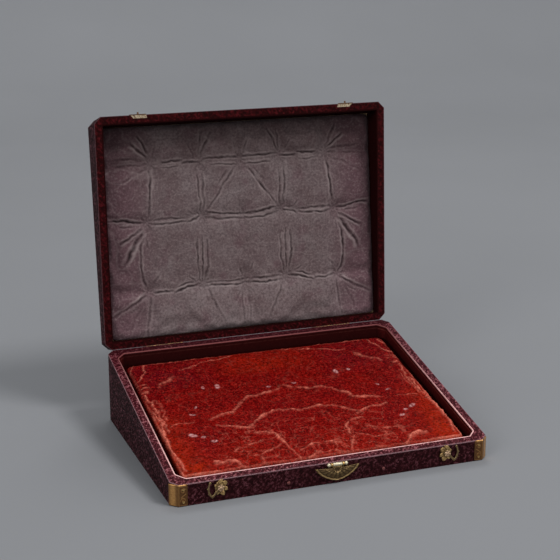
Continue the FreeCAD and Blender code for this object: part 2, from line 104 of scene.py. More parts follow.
def smooth_step(value):
    """An S curve from 0 at 0 to 1 at 1, level outside them."""
    value = clamp(value)
    return value * value * (3 - 2 * value)


def bell(distance, width):
    """1 where the distance is 0, falling off on both sides."""
    return np.exp(-(distance / width) ** 2)


TABLE = 64                # noise values across a table, after which ripple() repeats
FAR = 1e9                 # a distance longer than any other


def ripple(x, y, size, seed):
    """Smooth noise from -1 to 1 whose bumps have the given size."""
    table = np.random.default_rng(seed).uniform(-1, 1, (TABLE, TABLE))
    u, v = x / size, y / size
    column, row = np.floor(u).astype(int), np.floor(v).astype(int)
    fu, fv = smooth_step(u - column), smooth_step(v - row)

    def pick(across, up):
        return table[(row + up) % TABLE, (column + across) % TABLE]

    low = pick(0, 0) * (1 - fu) + pick(1, 0) * fu
    high = pick(0, 1) * (1 - fu) + pick(1, 1) * fu
    return low * (1 - fv) + high * fv


def ridges(x, y, size, seed):
    """Sharp-crested noise from 0 to 1, like the creases of crushed cloth."""
    return (1 - np.abs(ripple(x, y, size, seed))) ** 3


def near_path(path, x, y):
    """Signed distance from points to a path, and the share of the way along it. All in millimetres."""
    distance = np.full(x.shape, FAR)
    share = np.zeros(x.shape)
    total = sum(math.dist(a, b) for a, b in zip(path, path[1:]))
    done = 0.0
    for (ax, ay), (bx, by) in zip(path, path[1:]):
        length = math.dist((ax, ay), (bx, by))
        ux, uy = (bx - ax) / length, (by - ay) / length
        along = np.clip((x - ax) * ux + (y - ay) * uy, 0, length)
        gap = np.hypot(x - ax - along * ux, y - ay - along * uy)
        side = np.where((x - ax) * uy - (y - ay) * ux > 0, -1.0, 1.0)
        closer = gap < np.abs(distance)
        distance = np.where(closer, gap * side, distance)
        share = np.where(closer, (done + along) / total, share)
        done += length
    return distance, share


def rounded_sheet(half_x, half_y, radius, step):
    """Grid of points that fills a rectangle with round corners: x and y as rows by columns."""
    columns = int(round(2 * half_x / step)) + 1
    rows = int(round(2 * half_y / step)) + 1
    x, y = np.meshgrid(np.linspace(-half_x, half_x, columns), np.linspace(-half_y, half_y, rows))
    u = clamp((np.abs(x) - half_x + radius) / radius)
    v = clamp((np.abs(y) - half_y + radius) / radius)
    in_x = np.minimum(np.abs(x), half_x - radius) + radius * u * np.sqrt(1 - v * v / 2)
    in_y = np.minimum(np.abs(y), half_y - radius) + radius * v * np.sqrt(1 - u * u / 2)
    return np.sign(x) * in_x, np.sign(y) * in_y


def edge_distance(x, y, half_x, half_y, radius):
    """How far points lie inside a rectangle with round corners."""
    qx = np.abs(x) - half_x + radius
    qy = np.abs(y) - half_y + radius
    outside = np.hypot(np.maximum(qx, 0), np.maximum(qy, 0))
    return radius - outside - np.minimum(np.maximum(qx, qy), 0)


# ------------ mesh pieces
def new_object(name, data):
    made = bpy.data.objects.new(name, data)
    bpy.context.scene.collection.objects.link(made)
    return made


def mesh_piece(name, points, faces, material):
    mesh = bpy.data.meshes.new(name)
    mesh.from_pydata([tuple(point) for point in points], [], [tuple(face) for face in faces])
    mesh.materials.append(material)
    mesh.shade_smooth()
    return new_object(name, mesh)


def grid_faces(rows, columns):
    """Faces between the points of an open grid, given row by row."""
    index = np.arange(rows * columns).reshape(rows, columns)
    quads = [index[:-1, :-1], index[:-1, 1:], index[1:, 1:], index[1:, :-1]]
    return np.stack(quads, -1).reshape(-1, 4).tolist()


def ring_faces(rings, sides):
    """Faces between rings of points, where the last ring joins the first."""
    index = np.arange(rings * sides).reshape(rings, sides)
    there = np.roll(index, -1, axis=0)
    quads = [index, np.roll(index, -1, axis=1), np.roll(there, -1, axis=1), there]
    return np.stack(quads, -1).reshape(-1, 4).tolist()


def slab(name, front, back, ground, material):
    """A closed piece between two grids of points in mm, painted with where its dark ground is."""
    rows, columns = front.shape[:2]
    count = rows * columns
    index = np.arange(count).reshape(rows, columns)
    border = np.concatenate([index[0, :-1], index[:-1, -1], index[-1, :0:-1], index[:0:-1, 0]])
    faces = grid_faces(rows, columns)
    faces += [[count + corner for corner in face[::-1]] for face in faces]
    for here, there in zip(border, np.roll(border, -1)):
        faces.append([int(here), int(count + here), int(count + there), int(there)])
    points = np.concatenate([front.reshape(-1, 3), back.reshape(-1, 3)]) * MM
    piece = mesh_piece(name, points, faces, material)
    paint(piece, "ground", clamp(np.tile(ground.ravel(), 2)))
    return piece


def shaped_mesh(piece):
    """A new mesh of a piece as its modifiers leave it."""
    graph = bpy.context.evaluated_depsgraph_get()
    return bpy.data.meshes.new_from_object(piece.evaluated_get(graph))


def apply_modifiers(piece):
    mesh = shaped_mesh(piece)
    piece.modifiers.clear()
    piece.data = mesh


def get_points(mesh):
    points = np.empty(len(mesh.vertices) * 3)
    mesh.vertices.foreach_get("co", points)
    return points.reshape(-1, 3)


def set_points(piece, points):
    piece.data.vertices.foreach_set("co", points.ravel())
    piece.data.update()


def close_back(piece, depth):
    """Close an open sheet with a skirt and a flat back, the given depth below its border."""
    shape = bmesh.new()
    shape.from_mesh(piece.data)
    border = [edge for edge in shape.edges if edge.is_boundary]
    made = bmesh.ops.extrude_edge_only(shape, edges=border)["geom"]
    lower = [item for item in made if isinstance(item, bmesh.types.BMVert)]
    bmesh.ops.translate(shape, verts=lower, vec=(0, 0, -depth))
    rest = [edge for edge in shape.edges if edge.is_boundary]
    bmesh.ops.contextual_create(shape, geom=rest)
    bmesh.ops.recalc_face_normals(shape, faces=shape.faces)
    shape.to_mesh(piece.data)
    shape.free()
    piece.data.shade_smooth()


SWELL_FRAMES = 20
CLOTH = {"vertex_group_mass": "held", "quality": 5, "mass": 0.15, "tension_stiffness": 8,
         "compression_stiffness": 8, "bending_stiffness": 0.4, "use_pressure": True}


def swell(piece, pinned, pressure, stretch, cap):
    """Let an open sheet swell as cloth under pressure, held at the pinned points."""
    start = get_points(piece.data)
    group = piece.vertex_groups.new(name="held")
    group.add([int(index) for index in np.nonzero(pinned)[0]], 1.0, "REPLACE")
    cloth = piece.modifiers.new("cloth", "CLOTH")
    for label, value in CLOTH.items():
        setattr(cloth.settings, label, value)
    cloth.settings.shrink_min = -stretch
    cloth.settings.uniform_pressure_force = pressure
    cloth.settings.effector_weights.gravity = 0
    cloth.collision_settings.use_collision = False
    cloth.point_cache.frame_end = SWELL_FRAMES
    scene = bpy.context.scene
    for number in range(1, SWELL_FRAMES + 1):
        scene.frame_set(number)
    result = shaped_mesh(piece)
    move = get_points(result) - start
    length = np.linalg.norm(move, axis=1, keepdims=True)
    move *= np.minimum(1.0, cap / np.maximum(length, 1e-9))
    piece.modifiers.clear()
    piece.vertex_groups.clear()
    set_points(piece, start + move)
    bpy.data.meshes.remove(result)
    scene.frame_set(1)


def subdivide(piece, levels):
    surface = piece.modifiers.new("subdivide", "SUBSURF")
    surface.levels = levels
    surface.render_levels = levels
    surface.boundary_smooth = "PRESERVE_CORNERS"
    apply_modifiers(piece)


def soft_sheet(name, x, y, height, material, pinned, pressure, stretch, cap):
    """A grid of points swelled as cloth and made finer. Gives the piece and its points."""
    points = np.stack([x, y, height], -1).reshape(-1, 3)
    piece = mesh_piece(name, points, grid_faces(*x.shape), material)
    swell(piece, pinned.ravel(), pressure, stretch, cap)
    subdivide(piece, 2)
    return piece, get_points(piece.data)


def paint(piece, name, values):
    """Store one number per point, for the material to read."""
    attribute = piece.data.attributes.new(name, "FLOAT", "POINT")
    attribute.data.foreach_set("value", np.asarray(values, np.float32))


def unit_ball():
    """Points and faces of a ball of radius one."""
    sides, rows = 16, 9
    points = [(0.0, 0.0, 1.0)]
    for row in range(1, rows):
        tilt = math.pi * row / rows
        radius = math.sin(tilt)
        for side in range(sides):
            turn = 2 * math.pi * side / sides
            points.append((radius * math.cos(turn), radius * math.sin(turn), math.cos(tilt)))
    points.append((0.0, 0.0, -1.0))
    last = len(points) - 1
    faces = []
    for side in range(sides):
        there = (side + 1) % sides
        faces.append((0, 1 + side, 1 + there))
        faces.append((last, last - sides + there, last - sides + side))
        for row in range(rows - 2):
            low, high = 1 + row * sides, 1 + (row + 1) * sides
            faces.append((low + side, high + side, high + there, low + there))
    return np.array(points), faces


BALL_POINTS, BALL_FACES = unit_ball()


class Casting:
    """Overlapping lumps that are melted into one smooth casting. Sizes in millimetres."""

    def __init__(self):
        self.points = []

    def lump(self, centre, radii, turn=0.0):
        """An ellipsoid, turned in the front plane."""
        grown = BALL_POINTS * radii
        x = grown[:, 0] * math.cos(turn) - grown[:, 2] * math.sin(turn)
        z = grown[:, 0] * math.sin(turn) + grown[:, 2] * math.cos(turn)
        self.points.append(np.stack([x, grown[:, 1], z], -1) + centre)

    def trail(self, path, sizes, depth, y):
        """A row of lumps along a path in the front plane, with a size at each point."""
        for (x, z), size in zip(path, sizes):
            self.lump((x, y, z), (size, depth, size))

    def melt(self, name, material, voxel=0.16 * MM, smoothing=3):
        """One piece of all the lumps, painted with how deep each point lies below its front."""
        faces = []
        for number in range(len(self.points)):
            start = number * len(BALL_POINTS)
            faces += [[start + corner for corner in face] for face in BALL_FACES]
        piece = mesh_piece(name, np.concatenate(self.points) * MM, faces, material)
        remesh = piece.modifiers.new("melt", "REMESH")
        remesh.mode = "VOXEL"
        remesh.voxel_size = voxel
        remesh.use_smooth_shade = True
        smooth = piece.modifiers.new("smooth", "SMOOTH")
        smooth.factor = 0.5
        smooth.iterations = smoothing
        apply_modifiers(piece)
        piece.data.materials.clear()
        piece.data.materials.append(material)
        height = -get_points(piece.data)[:, 1]
        low, high = height.min(), height.max()
        paint(piece, "ground", 1 - smooth_step((height - low - 0.25 * (high - low)) / (0.6 * (high - low))))
        return piece


def curl_points(centre, start, turns, first, last, count=26):
    """Points along a spiral that winds in from the first radius to the last."""
    points = []
    for step in range(count):
        share = step / (count - 1)
        angle = start + turns * 2 * math.pi * share
        radius = first + (last - first) * share
        points.append((centre[0] + radius * math.cos(angle), centre[1] + radius * math.sin(angle)))
    return points


def mirror_piece(piece, name):
    """A copy of a piece on the other side of the middle."""
    mesh = piece.data.copy()
    mesh.name = name
    mesh.transform(Matrix.Diagonal((-1, 1, 1, 1)))
    mesh.flip_normals()
    return new_object(name, mesh)


def hand_over(piece, body, replaced=()):
    """Give a piece its body and the CAD nodes that it stands in for."""
    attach(piece, body)
    if replaced:
        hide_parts(*replaced)


def hand_over_pair(left_piece, node, body=None):
    """Hand over a left brass piece and its twin. With no body given, each has its node's own."""
    right_piece = mirror_piece(left_piece, left_piece.name.replace("_left", "_right"))
    for piece, side in ((left_piece, "left"), (right_piece, "right")):
        hand_over(piece, body or node + side, [node + side])


# ------------ material nodes
class Look:
    """A material with short calls for its nodes. Lengths given to the nodes are in metres."""

    def __init__(self, name, roughness, metallic=0.0, lid=False, **shader_values):
        self.material = bpy.data.materials.new(name)
        self.material.use_nodes = True
        self.tree = self.material.node_tree
        self.shader = self.tree.nodes["Principled BSDF"]
        shader_values.update(Roughness=roughness, Metallic=metallic)
        for label, value in shader_values.items():
            self.put(self.shader.inputs[label.replace("_", " ")], value)
        self.place = self.node("ShaderNodeTexCoord").outputs["Object"]
        if lid:
            self.place = self.mapped(Location=TO_SHUT.to_translation(), Rotation=TO_SHUT.to_euler())

    def put(self, socket, value):
        """Link another node's output to a socket, or set the socket's own value."""
        if isinstance(value, bpy.types.NodeSocket):
            self.tree.links.new(value, socket)
        elif socket.type == "RGBA":
            socket.default_value = (*value, 1)
        else:
            socket.default_value = value

    def node(self, kind, inputs=None, **settings):
        made = self.tree.nodes.new(kind)
        for label, value in settings.items():
            setattr(made, label, value)
        for label, value in (inputs or {}).items():
            self.put(made.inputs[label], value)
        return made

    def mapped(self, place=None, **values):
        return self.node("ShaderNodeMapping", {"Vector": place or self.place, **values}).outputs["Vector"]

    def stretched(self, scale, turn=(0, 0, 0)):
        """Places turned and then stretched, for a grain that runs one way."""
        return self.mapped(self.mapped(Rotation=turn), Scale=scale)

    def along(self, x, y, z, start=0.0):
        """Length along a direction, from a start."""
        product = self.node("ShaderNodeVectorMath", {0: self.place, 1: (x, y, z)}, operation="DOT_PRODUCT")
        return self.math("SUBTRACT", product.outputs["Value"], start)

    def noise(self, size, detail, roughness=0.55, distortion=0.0, place=None):
        values = {"Vector": place or self.place, "Scale": 1 / size, "Detail": detail,
                  "Roughness": roughness, "Distortion": distortion}
        return self.node("ShaderNodeTexNoise", values).outputs["Fac"]

    def math(self, operation, first, second=0.0):
        return self.node("ShaderNodeMath", {0: first, 1: second}, operation=operation).outputs[0]

    def times(self, first, second):
        return self.math("MULTIPLY", first, second)

    def between(self, value, low, high, to_low=0.0, to_high=1.0):
        """A value moved from the range low to high into another one, and held inside it."""
        values = {"Value": value, "From Min": low, "From Max": high, "To Min": to_low, "To Max": to_high}
        return self.node("ShaderNodeMapRange", values).outputs["Result"]

    def mix(self, share, first, second):
        made = self.node("ShaderNodeMix", {"Factor": share}, data_type="RGBA")
        colour_inputs = [socket for socket in made.inputs if socket.type == "RGBA"]
        self.put(colour_inputs[0], first)
        self.put(colour_inputs[1], second)
        return [socket for socket in made.outputs if socket.type == "RGBA"][0]

    def tint(self, colour, other, value, low, high, most=1.0):
        """Mix another colour in, from none where the value is low to the most where it is high."""
        return self.mix(self.between(value, low, high, 0.0, most), colour, other)

    def painted(self, name):
        """The numbers that paint() stored on the piece."""
        return self.node("ShaderNodeAttribute", attribute_name=name).outputs["Fac"]

    def bump(self, height, distance, strength, normal=None):
        values = {"Height": height, "Distance": distance, "Strength": strength}
        if normal is not None:
            values["Normal"] = normal
        return self.node("ShaderNodeBump", values).outputs["Normal"]

    def finish(self, colour, normal=None, roughness=None):
        for label, value in (("Base Color", colour), ("Normal", normal), ("Roughness", roughness)):
            if value is not None:
                self.put(self.shader.inputs[label], value)
        return self.material


def outer_edge_share(look, reach):
    """1 at the box's outer edges, falling to 0 at the given reach inside them."""
    side = look.math("SUBTRACT", HALF_X, look.math("ABSOLUTE", look.along(1, 0, 0)))
    front = look.math("SUBTRACT", HALF_Y, look.math("ABSOLUTE", look.along(0, 1, 0)))
    corner = look.times(look.math("SUBTRACT", look.math("ADD", side, front), CUT), 0.707)
    nearest = look.math("MINIMUM", look.math("MINIMUM", side, front), corner)
    return look.between(nearest, reach, 0.0)


def depth_below_rim(look):
    """How far a point lies below the base's rim."""
    return look.along(0, SLOPE, -1, -(RIM_FRONT + SLOPE * HALF_Y))


def leather(name, dark, light, fleck, fleck_share, size, lid=False, wear_and_highlight=None, rear_shade=0.0,
            end_highlight_share=None):
    """Crushed leather: a criss-cross grain with light flecks on its crests, part wear and part painted
    highlight, and, on a rim, edges lightened by wear and painted highlight, and painted shade at the rear.

    fleck_share is how strong the flecks are. end_highlight_share is that at the box's left and right ends,
    where it is a painted highlight on the side faces.
    """
    look = Look(name, roughness=0.55, lid=lid, Specular_IOR_Level=0.06)
    one_way = look.noise(size, 2.5, 0.6, place=look.stretched((0.4, 1.2, 1.2), (0.3, 0.7, 0.75)))
    other_way = look.noise(size, 2.5, 0.6, place=look.stretched((0.4, 1.2, 1.2), (-0.3, -0.7, -0.75)))
    hatch = look.math("MAXIMUM", one_way, other_way)
    tone = look.noise(14 * MM, 4, 0.6)
    grain = look.noise(0.8 * MM, 2, 0.6)
    colour = look.tint(dark, light, hatch, 0.46, 0.62)
    colour = look.tint(colour, [part * 0.3 for part in dark], grain, 0.5, 0.3, 0.6)
    # Light flecks on the grain's crests: part wear, part painted highlight.
    flecks = look.times(look.between(hatch, 0.57, 0.67), look.between(tone, 0.35, 0.6, 0.25, 1.0))
    from_middle = look.math("ABSOLUTE", look.along(1, 0, 0))
    end_highlight_share = end_highlight_share or fleck_share
    # Toward the left and right ends the flecks grow stronger, a painted highlight on the side faces.
    share = look.between(from_middle, HALF_X - 1.5 * MM, HALF_X - 0.5 * MM, fleck_share, end_highlight_share)
    colour = look.mix(look.times(flecks, share), colour, fleck)
    # Lighter outer edges: wear, and a painted highlight along the edge.
    if wear_and_highlight:
        rubbed_and_lit = look.times(outer_edge_share(look, 0.7 * MM), look.between(grain, 0.35, 0.6, 0.2, 0.8))
        colour = look.mix(rubbed_and_lit, colour, wear_and_highlight)
    # Painted shade over the rear of the rim.
    if rear_shade:
        colour = look.tint(colour, dark, look.along(0, 1, 0), HALF_Y - 9 * MM, HALF_Y - 6 * MM, rear_shade)
    normal = look.bump(hatch, 0.8 * MM, 0.8, look.bump(grain, 0.2 * MM, 0.5))
    return look.finish(colour, normal, look.between(hatch, 0.35, 0.7, 0.7, 0.5))


def cloth_lining(name, dark, light, lid=False):
    """Stiffened cloth on inner walls: painted shade low down and at the rear, one pressed line near the
    rim.
    """
    look = Look(name, roughness=0.8, lid=lid, Specular_IOR_Level=0.05)
    values = {"Vector": look.place, "Scale": 1 / (2.4 * MM), "Distortion": 1.5}
    weave = look.node("ShaderNodeTexWave", values, bands_direction="DIAGONAL").outputs["Fac"]
    lint = look.noise(2.5 * MM, 4, 0.7)
    colour = look.tint(dark, light, lint, 0.4, 0.7)
    if not lid:
        depth = depth_below_rim(look)
        # Painted shade, deepening below the rim.
        colour = look.tint(colour, [part * 0.4 for part in dark], depth, 5 * MM, 12 * MM, 0.55)
        from_line = look.math("ABSOLUTE", look.math("SUBTRACT", depth, 3.6 * MM))
        pressed = look.between(from_line, 0.6 * MM, 0.2 * MM)
        line = look.times(pressed, look.between(lint, 0.3, 0.6))
        colour = look.mix(line, colour, (0.13, 0.03, 0.024))
        # Painted shade on the rear wall.
        rear_wall_shade = [part * 0.25 for part in dark]
        colour = look.tint(colour, rear_wall_shade, look.along(0, 1, 0), HALF_Y - 12 * MM, HALF_Y - 7.5 * MM, 0.75)
    normal = look.bump(look.math("ADD", weave, lint), 0.2 * MM, 0.6)
    return look.finish(colour, normal)


def velvet_red():
    """Crushed red pad: orange and crimson patches, pink painted highlight on its creases and border,
    painted shade at its edge, and a fine mottle.
    """
    look = Look("crushed_red", roughness=0.5, Specular_IOR_Level=0.02)
    patch = look.noise(38 * MM, 3, 0.5, 0.6)
    mottle = look.noise(2.0 * MM, 3, 0.65, 0.6)
    speck = look.noise(1.6 * MM, 2, 0.6)
    shade = look.noise(9 * MM, 3, 0.6)
    colour = look.tint((0.125, 0.0008, 0.0018), (0.158, 0.0014, 0.0007), patch, 0.35, 0.65)
    colour = look.mix(look.painted("orange"), colour, (0.29, 0.014, 0.001))
    colour = look.mix(look.painted("purple"), colour, (0.085, 0.0012, 0.0050))
    colour = look.tint(colour, (0.055, 0.0002, 0.0003), shade, 0.55, 0.35, 0.5)
    colour = look.tint(colour, (0.022, 0.0001, 0.0001), mottle, 0.52, 0.36, 0.8)
    colour = look.tint(colour, (0.32, 0.012, 0.007), speck, 0.55, 0.63, 0.6)
    colour = look.tint(colour, (0.35, 0.015, 0.010), mottle, 0.56, 0.66, 0.6)
    # Painted highlight along the creases and the raised border.
    crest_highlight = look.times(look.painted("crest_highlight"), look.between(speck, 0.35, 0.6, 0.4, 1.0))
    colour = look.mix(crest_highlight, colour, (0.64, 0.17, 0.115))
    colour = look.mix(look.painted("knot"), colour, (0.62, 0.33, 0.32))
    # Painted shade where the pad falls into the gap at the wall.
    colour = look.mix(look.painted("gap"), colour, (0.012, 0.0005, 0.0005))
    height = look.math("ADD", mottle, look.times(speck, 0.5))
    normal = look.bump(height, 0.7 * MM, 0.9)
    return look.finish(colour, normal, look.between(mottle, 0.3, 0.7, 0.62, 0.45))


def velvet_grey():
    """Grey-mauve velvet: soft pile, faint reddish clouds, painted shade in its folds and near its front,
    painted highlight on the lips of its pleats.
    """
    look = Look("grey_velvet", roughness=0.9, lid=True, Specular_IOR_Level=0.05, Sheen_Weight=0.15,
                Sheen_Roughness=0.45, Sheen_Tint=(0.85, 0.75, 0.76))
    cloud = look.noise(26 * MM, 3, 0.5, 0.4)
    pile = look.noise(2.0 * MM, 3, 0.7)
    tint = look.noise(16 * MM, 2, 0.5)
    colour = look.tint((0.125, 0.085, 0.087), (0.17, 0.132, 0.133), cloud, 0.3, 0.7)
    reddish = look.math("MAXIMUM", look.between(tint, 0.56, 0.72, 0.0, 0.5), look.painted("side"))
    colour = look.mix(reddish, colour, (0.115, 0.062, 0.072))
    colour = look.tint(colour, (0.055, 0.036, 0.038), pile, 0.5, 0.36, 0.5)
    colour = look.tint(colour, (0.27, 0.215, 0.21), pile, 0.53, 0.66, 0.4)
    # Painted shade in the folds, painted highlight on the lips of the pleats.
    colour = look.mix(look.painted("fold"), colour, (0.016, 0.010, 0.011))
    colour = look.mix(look.painted("lip_highlight"), colour, (0.32, 0.255, 0.25))
    # Painted shade near the pad's front edge, the top as the lid stands open.
    soot = look.times(look.painted("soot"), look.between(cloud, 0.2, 0.8, 1.0, 0.85))
    colour = look.mix(soot, colour, (0.018, 0.009, 0.009))
    normal = look.bump(pile, 0.35 * MM, 0.7)
    return look.finish(colour, normal)


def brass(name, bright, dark, tarnish=0.5, ground=(0.03, 0.012, 0.008)):
    """Aged brass: patina in blotches, pits, and a nearly black ground where the piece says: patina where it
    lies deep, and on the corner mounts also painted shade.
    """
    look = Look(name, roughness=0.42, metallic=0.8)
    blotch = look.noise(1.8 * MM, 5, 0.7, 0.5)
    pits = look.noise(0.6 * MM, 3, 0.6)
    colour = look.tint(bright, dark, blotch, 0.42, 0.66)
    colour = look.tint(colour, [part * 0.3 for part in dark], pits, 0.5, 0.3, tarnish)
    deep = look.times(look.painted("ground"), look.between(blotch, 0.2, 0.6, 1.0, 0.75))
    colour = look.mix(deep, colour, ground)
    normal = look.bump(pits, 0.12 * MM, 0.6)
    return look.finish(colour, normal, look.between(blotch, 0.3, 0.7, 0.3, 0.55))


def catch_brass():
    """The lid's catches: rubbed pale where they fold over the rim, dark on the front."""
    look = Look("catch_brass", roughness=0.4, metallic=0.6, lid=True)
    blotch = look.noise(2.0 * MM, 4, 0.7, 0.5)
    colour = look.tint((0.62, 0.50, 0.34), (0.24, 0.15, 0.09), blotch, 0.4, 0.6)
    on_front = look.between(look.along(0, 1, 0, -HALF_Y), 0.5 * MM, 0.1 * MM)
    colour = look.mix(on_front, colour, (0.10, 0.045, 0.02))
    return look.finish(colour, look.bump(blotch, 0.1 * MM, 0.5))


def wood():
    """Plain wood, seen only where the covering is taken off."""
    look = Look("plain_wood", roughness=0.7)
    values = {"Vector": look.stretched((0.2, 1, 1)), "Scale": 90, "Distortion": 6, "Detail": 3}
    rings = look.node("ShaderNodeTexWave", values, wave_type="RINGS").outputs["Fac"]
    fibre = look.noise(1.2 * MM, 4, 0.6, place=look.stretched((0.15, 1, 1)))
    colour = look.tint((0.33, 0.20, 0.10), (0.45, 0.30, 0.16), rings, 0.2, 0.8)
    colour = look.tint(colour, (0.2, 0.11, 0.05), fibre, 0.55, 0.3, 0.5)
    return look.finish(colour, look.bump(fibre, 0.2 * MM, 0.5))


def board(name, light, dark):
    """Pressed board or covering paper: short fibres."""
    look = Look(name, roughness=0.85, Specular_IOR_Level=0.1)
    fibre = look.noise(1.8 * MM, 5, 0.75, 1.2)
    colour = look.tint(light, dark, fibre, 0.35, 0.65)
    return look.finish(colour, look.bump(fibre, 0.15 * MM, 0.5))


def piping_pink():
    """Rim piping: pale pink where it wears, kept to the front as painted light, dull red elsewhere."""
    look = Look("piping_pink", roughness=0.45, Specular_IOR_Level=0.15)
    rub = look.noise(5 * MM, 4, 0.65)
    grain = look.noise(1.2 * MM, 3, 0.6)
    # Painted light: the pale wear shows toward the front and fades into painted shade toward the rear.
    front_lit_share = look.between(look.along(0, 1, 0), HALF_Y * 0.9, -HALF_Y * 0.6)
    share = look.times(look.between(rub, 0.2, 0.5), front_lit_share)
    colour = look.mix(share, (0.17, 0.045, 0.045), (0.76, 0.43, 0.41))
    colour = look.tint(colour, (0.20, 0.05, 0.05), grain, 0.45, 0.28, 0.6)
    return look.finish(colour, look.bump(grain, 0.2 * MM, 0.6))


OUTER_LEATHER = leather("outer_leather", (0.010, 0.0012, 0.0018), (0.030, 0.0042, 0.0058),
                        (0.15, 0.050, 0.064), 0.55, 2.5 * MM, end_highlight_share=1.0)
RIM_LEATHER = leather("rim_leather", (0.022, 0.0015, 0.003), (0.09, 0.010, 0.016), (0.37, 0.14, 0.155),
                      0.8, 2.3 * MM, wear_and_highlight=(0.34, 0.20, 0.22), rear_shade=0.68)
LID_RIM_LEATHER = leather("lid_rim_leather", (0.012, 0.0003, 0.0005), (0.034, 0.0012, 0.0018),
                          (0.11, 0.010, 0.014), 0.5, 2.6 * MM, lid=True, wear_and_highlight=(0.14, 0.07, 0.08))
LINING = cloth_lining("dark_lining", (0.040, 0.0020, 0.0020), (0.065, 0.0055, 0.0055))
LID_LINING = cloth_lining("dark_lid_lining", (0.010, 0.0005, 0.0006), (0.018, 0.0011, 0.0013), lid=True)
RED = velvet_red()
GREY = velvet_grey()
PINK = piping_pink()
BRASS = brass("aged_brass", (0.52, 0.33, 0.12), (0.25, 0.15, 0.06))
PALE_BRASS = brass("pale_brass", (0.74, 0.66, 0.48), (0.44, 0.36, 0.22), 0.3)
CATCH_BRASS = catch_brass()
MOUNT_BRASS = brass("mount_brass", (0.62, 0.33, 0.11), (0.38, 0.18, 0.06), 0.3, (0.045, 0.011, 0.005))
FAN_BRASS = brass("fan_brass", (0.46, 0.31, 0.13), (0.18, 0.10, 0.04), 0.6, (0.022, 0.008, 0.003))
LATCH_BRASS = brass("latch_brass", (0.56, 0.37, 0.15), (0.19, 0.10, 0.045), 0.6)
HOOK_BRASS = brass("hook_brass", (0.30, 0.20, 0.09), (0.10, 0.06, 0.03), 0.7)
ROSE_BRASS = brass("rose_brass", (0.62, 0.42, 0.26), (0.34, 0.20, 0.12), 0.5)
STUD_BRASS = brass("stud_copper", (0.30, 0.10, 0.09), (0.16, 0.05, 0.05))
WOOD = wood()
PAD_BOARD = board("pad_board", (0.36, 0.28, 0.18), (0.25, 0.18, 0.11))
UNDERSIDE = board("underside_paper", (0.045, 0.018, 0.020), (0.028, 0.010, 0.012))


# ------------ the red pad in the base
PAD_X = HALF_X - PAD_INSET
PAD_Y = HALF_Y - PAD_INSET
PAD_CORNER = 11 * MM
PAD_STEP = 3.2 * MM       # between the points of its sheet before it is made finer
PAD_BACK = 1.4 * MM       # from its edge down to its flat back
PAD_EDGE = 12 * MM        # rim down to the pad's edge
PAD_FRONT = 4.2 * MM      # rim down to the pad's shoulder, front and rear
PAD_REAR = 8.8 * MM
SHOULDER = 7.4 * MM       # from the pad's edge in to its raised border
FALL = 3.6 * MM           # width of the steep fall outside that border
FRONT_SET_IN = 2.8 * MM   # how much wider the gap is along the front

# Raised creases on the right half, mirrored to the left: path in mm, height, width.
PAD_CREASES = [
    ([(0, 24), (12, 18), (26, 14), (36, 13), (48, 2), (58, -8), (70, -11), (81, -16)], 0.62, 1.8),
    ([(-2, -18), (12, -16), (20, -14), (32, -18), (42, -26), (52, -33)], 0.85, 1.8),
    ([(46, -34), (52, -33), (62, -29), (79, -25)], 0.9, 1.4),
    ([(50, -41), (40, -44), (32, -48), (31, -60), (30, -68), (26, -77), (20, -89)], 0.9, 1.5),
    ([(96, -75), (84, -76), (77, -79), (73, -84), (70, -91)], 1.3, 2.4),
    ([(60, -62), (68, -62), (76, -66)], 0.7, 1.1),
    ([(46, -55), (56, -59), (62, -61)], 0.6, 1.0),
    ([(34, -64), (46, -70), (56, -74), (66, -74)], 0.6, 1.1),
    ([(0, -70), (12, -72), (22, -76)], 0.8, 1.3),
    ([(0, -82), (10, -84), (20, -86)], 0.7, 1.2),
    ([(94, -16), (106, -15), (116, -18)], 0.4, 0.8),
    ([(88, 62), (98, 54), (108, 45)], 0.4, 2.6),
    ([(20, 88), (40, 84), (60, 79), (82, 69)], 0.4, 1.0),
    ([(112, 88), (114, 76), (117, 66), (121, 60), (128, 60)], 0.9, 1.0),
    ([(120, 90), (124, 80), (128, 69)], 0.6, 0.9),
    ([(116, 52), (128, 54)], 0.5, 0.9),
    ([(116, 47), (128, 48)], 0.5, 0.8),
    ([(117, 42), (125, 42)], 0.7, 1.6),
    ([(123, 39), (121, 24), (118, 5)], 1.4, 1.5),
    ([(122, 14), (121, -7), (124, -22), (124, -40), (124, -60), (121, -82)], 1.6, 1.6),
    ([(116, 12), (119, -6), (119, -24)], 0.8, 1.1),
    ([(118, 30), (113, 8), (117, -8)], 0.5, 0.9),
    ([(0, 91), (30, 92), (60, 91), (90, 89), (112, 88)], 0.5, 1.5),
]
# Small worn knots on that half: centre, half width and half height in mm, and turn in degrees.
PAD_KNOTS = [
    (101, -35, 3.4, 1.7, 35), (93, -39, 1.8, 1.2, 0), (86, -47, 2.2, 1.4, 10), (57, 35, 1.8, 3.2, 0),
    (70, 36, 1.2, 2.0, 0), (86, 6, 1.8, 0.8, -50), (92, -4, 2.6, 0.8, 20), (12, 25, 2.0, 1.0, 0),
]


def pad_shoulder_depth(y):
    """How far the pad's face lies below the rim, shallower at the front."""
    return PAD_FRONT + (PAD_REAR - PAD_FRONT) * (y + HALF_Y) / (2 * HALF_Y)


def border_distance(x, y):
    """How far a point lies inside the pad's foot, which is set further in along the front."""
    set_in = FRONT_SET_IN / 2
    return edge_distance(x, y - set_in, PAD_X, PAD_Y - set_in, PAD_CORNER)


def thin_net(x, y, size, width, seed):
    """Fine squiggly lines where smooth noise crosses zero."""
    return clamp(1 - np.abs(ripple(x, y, size, seed)) / width) ** 1.5


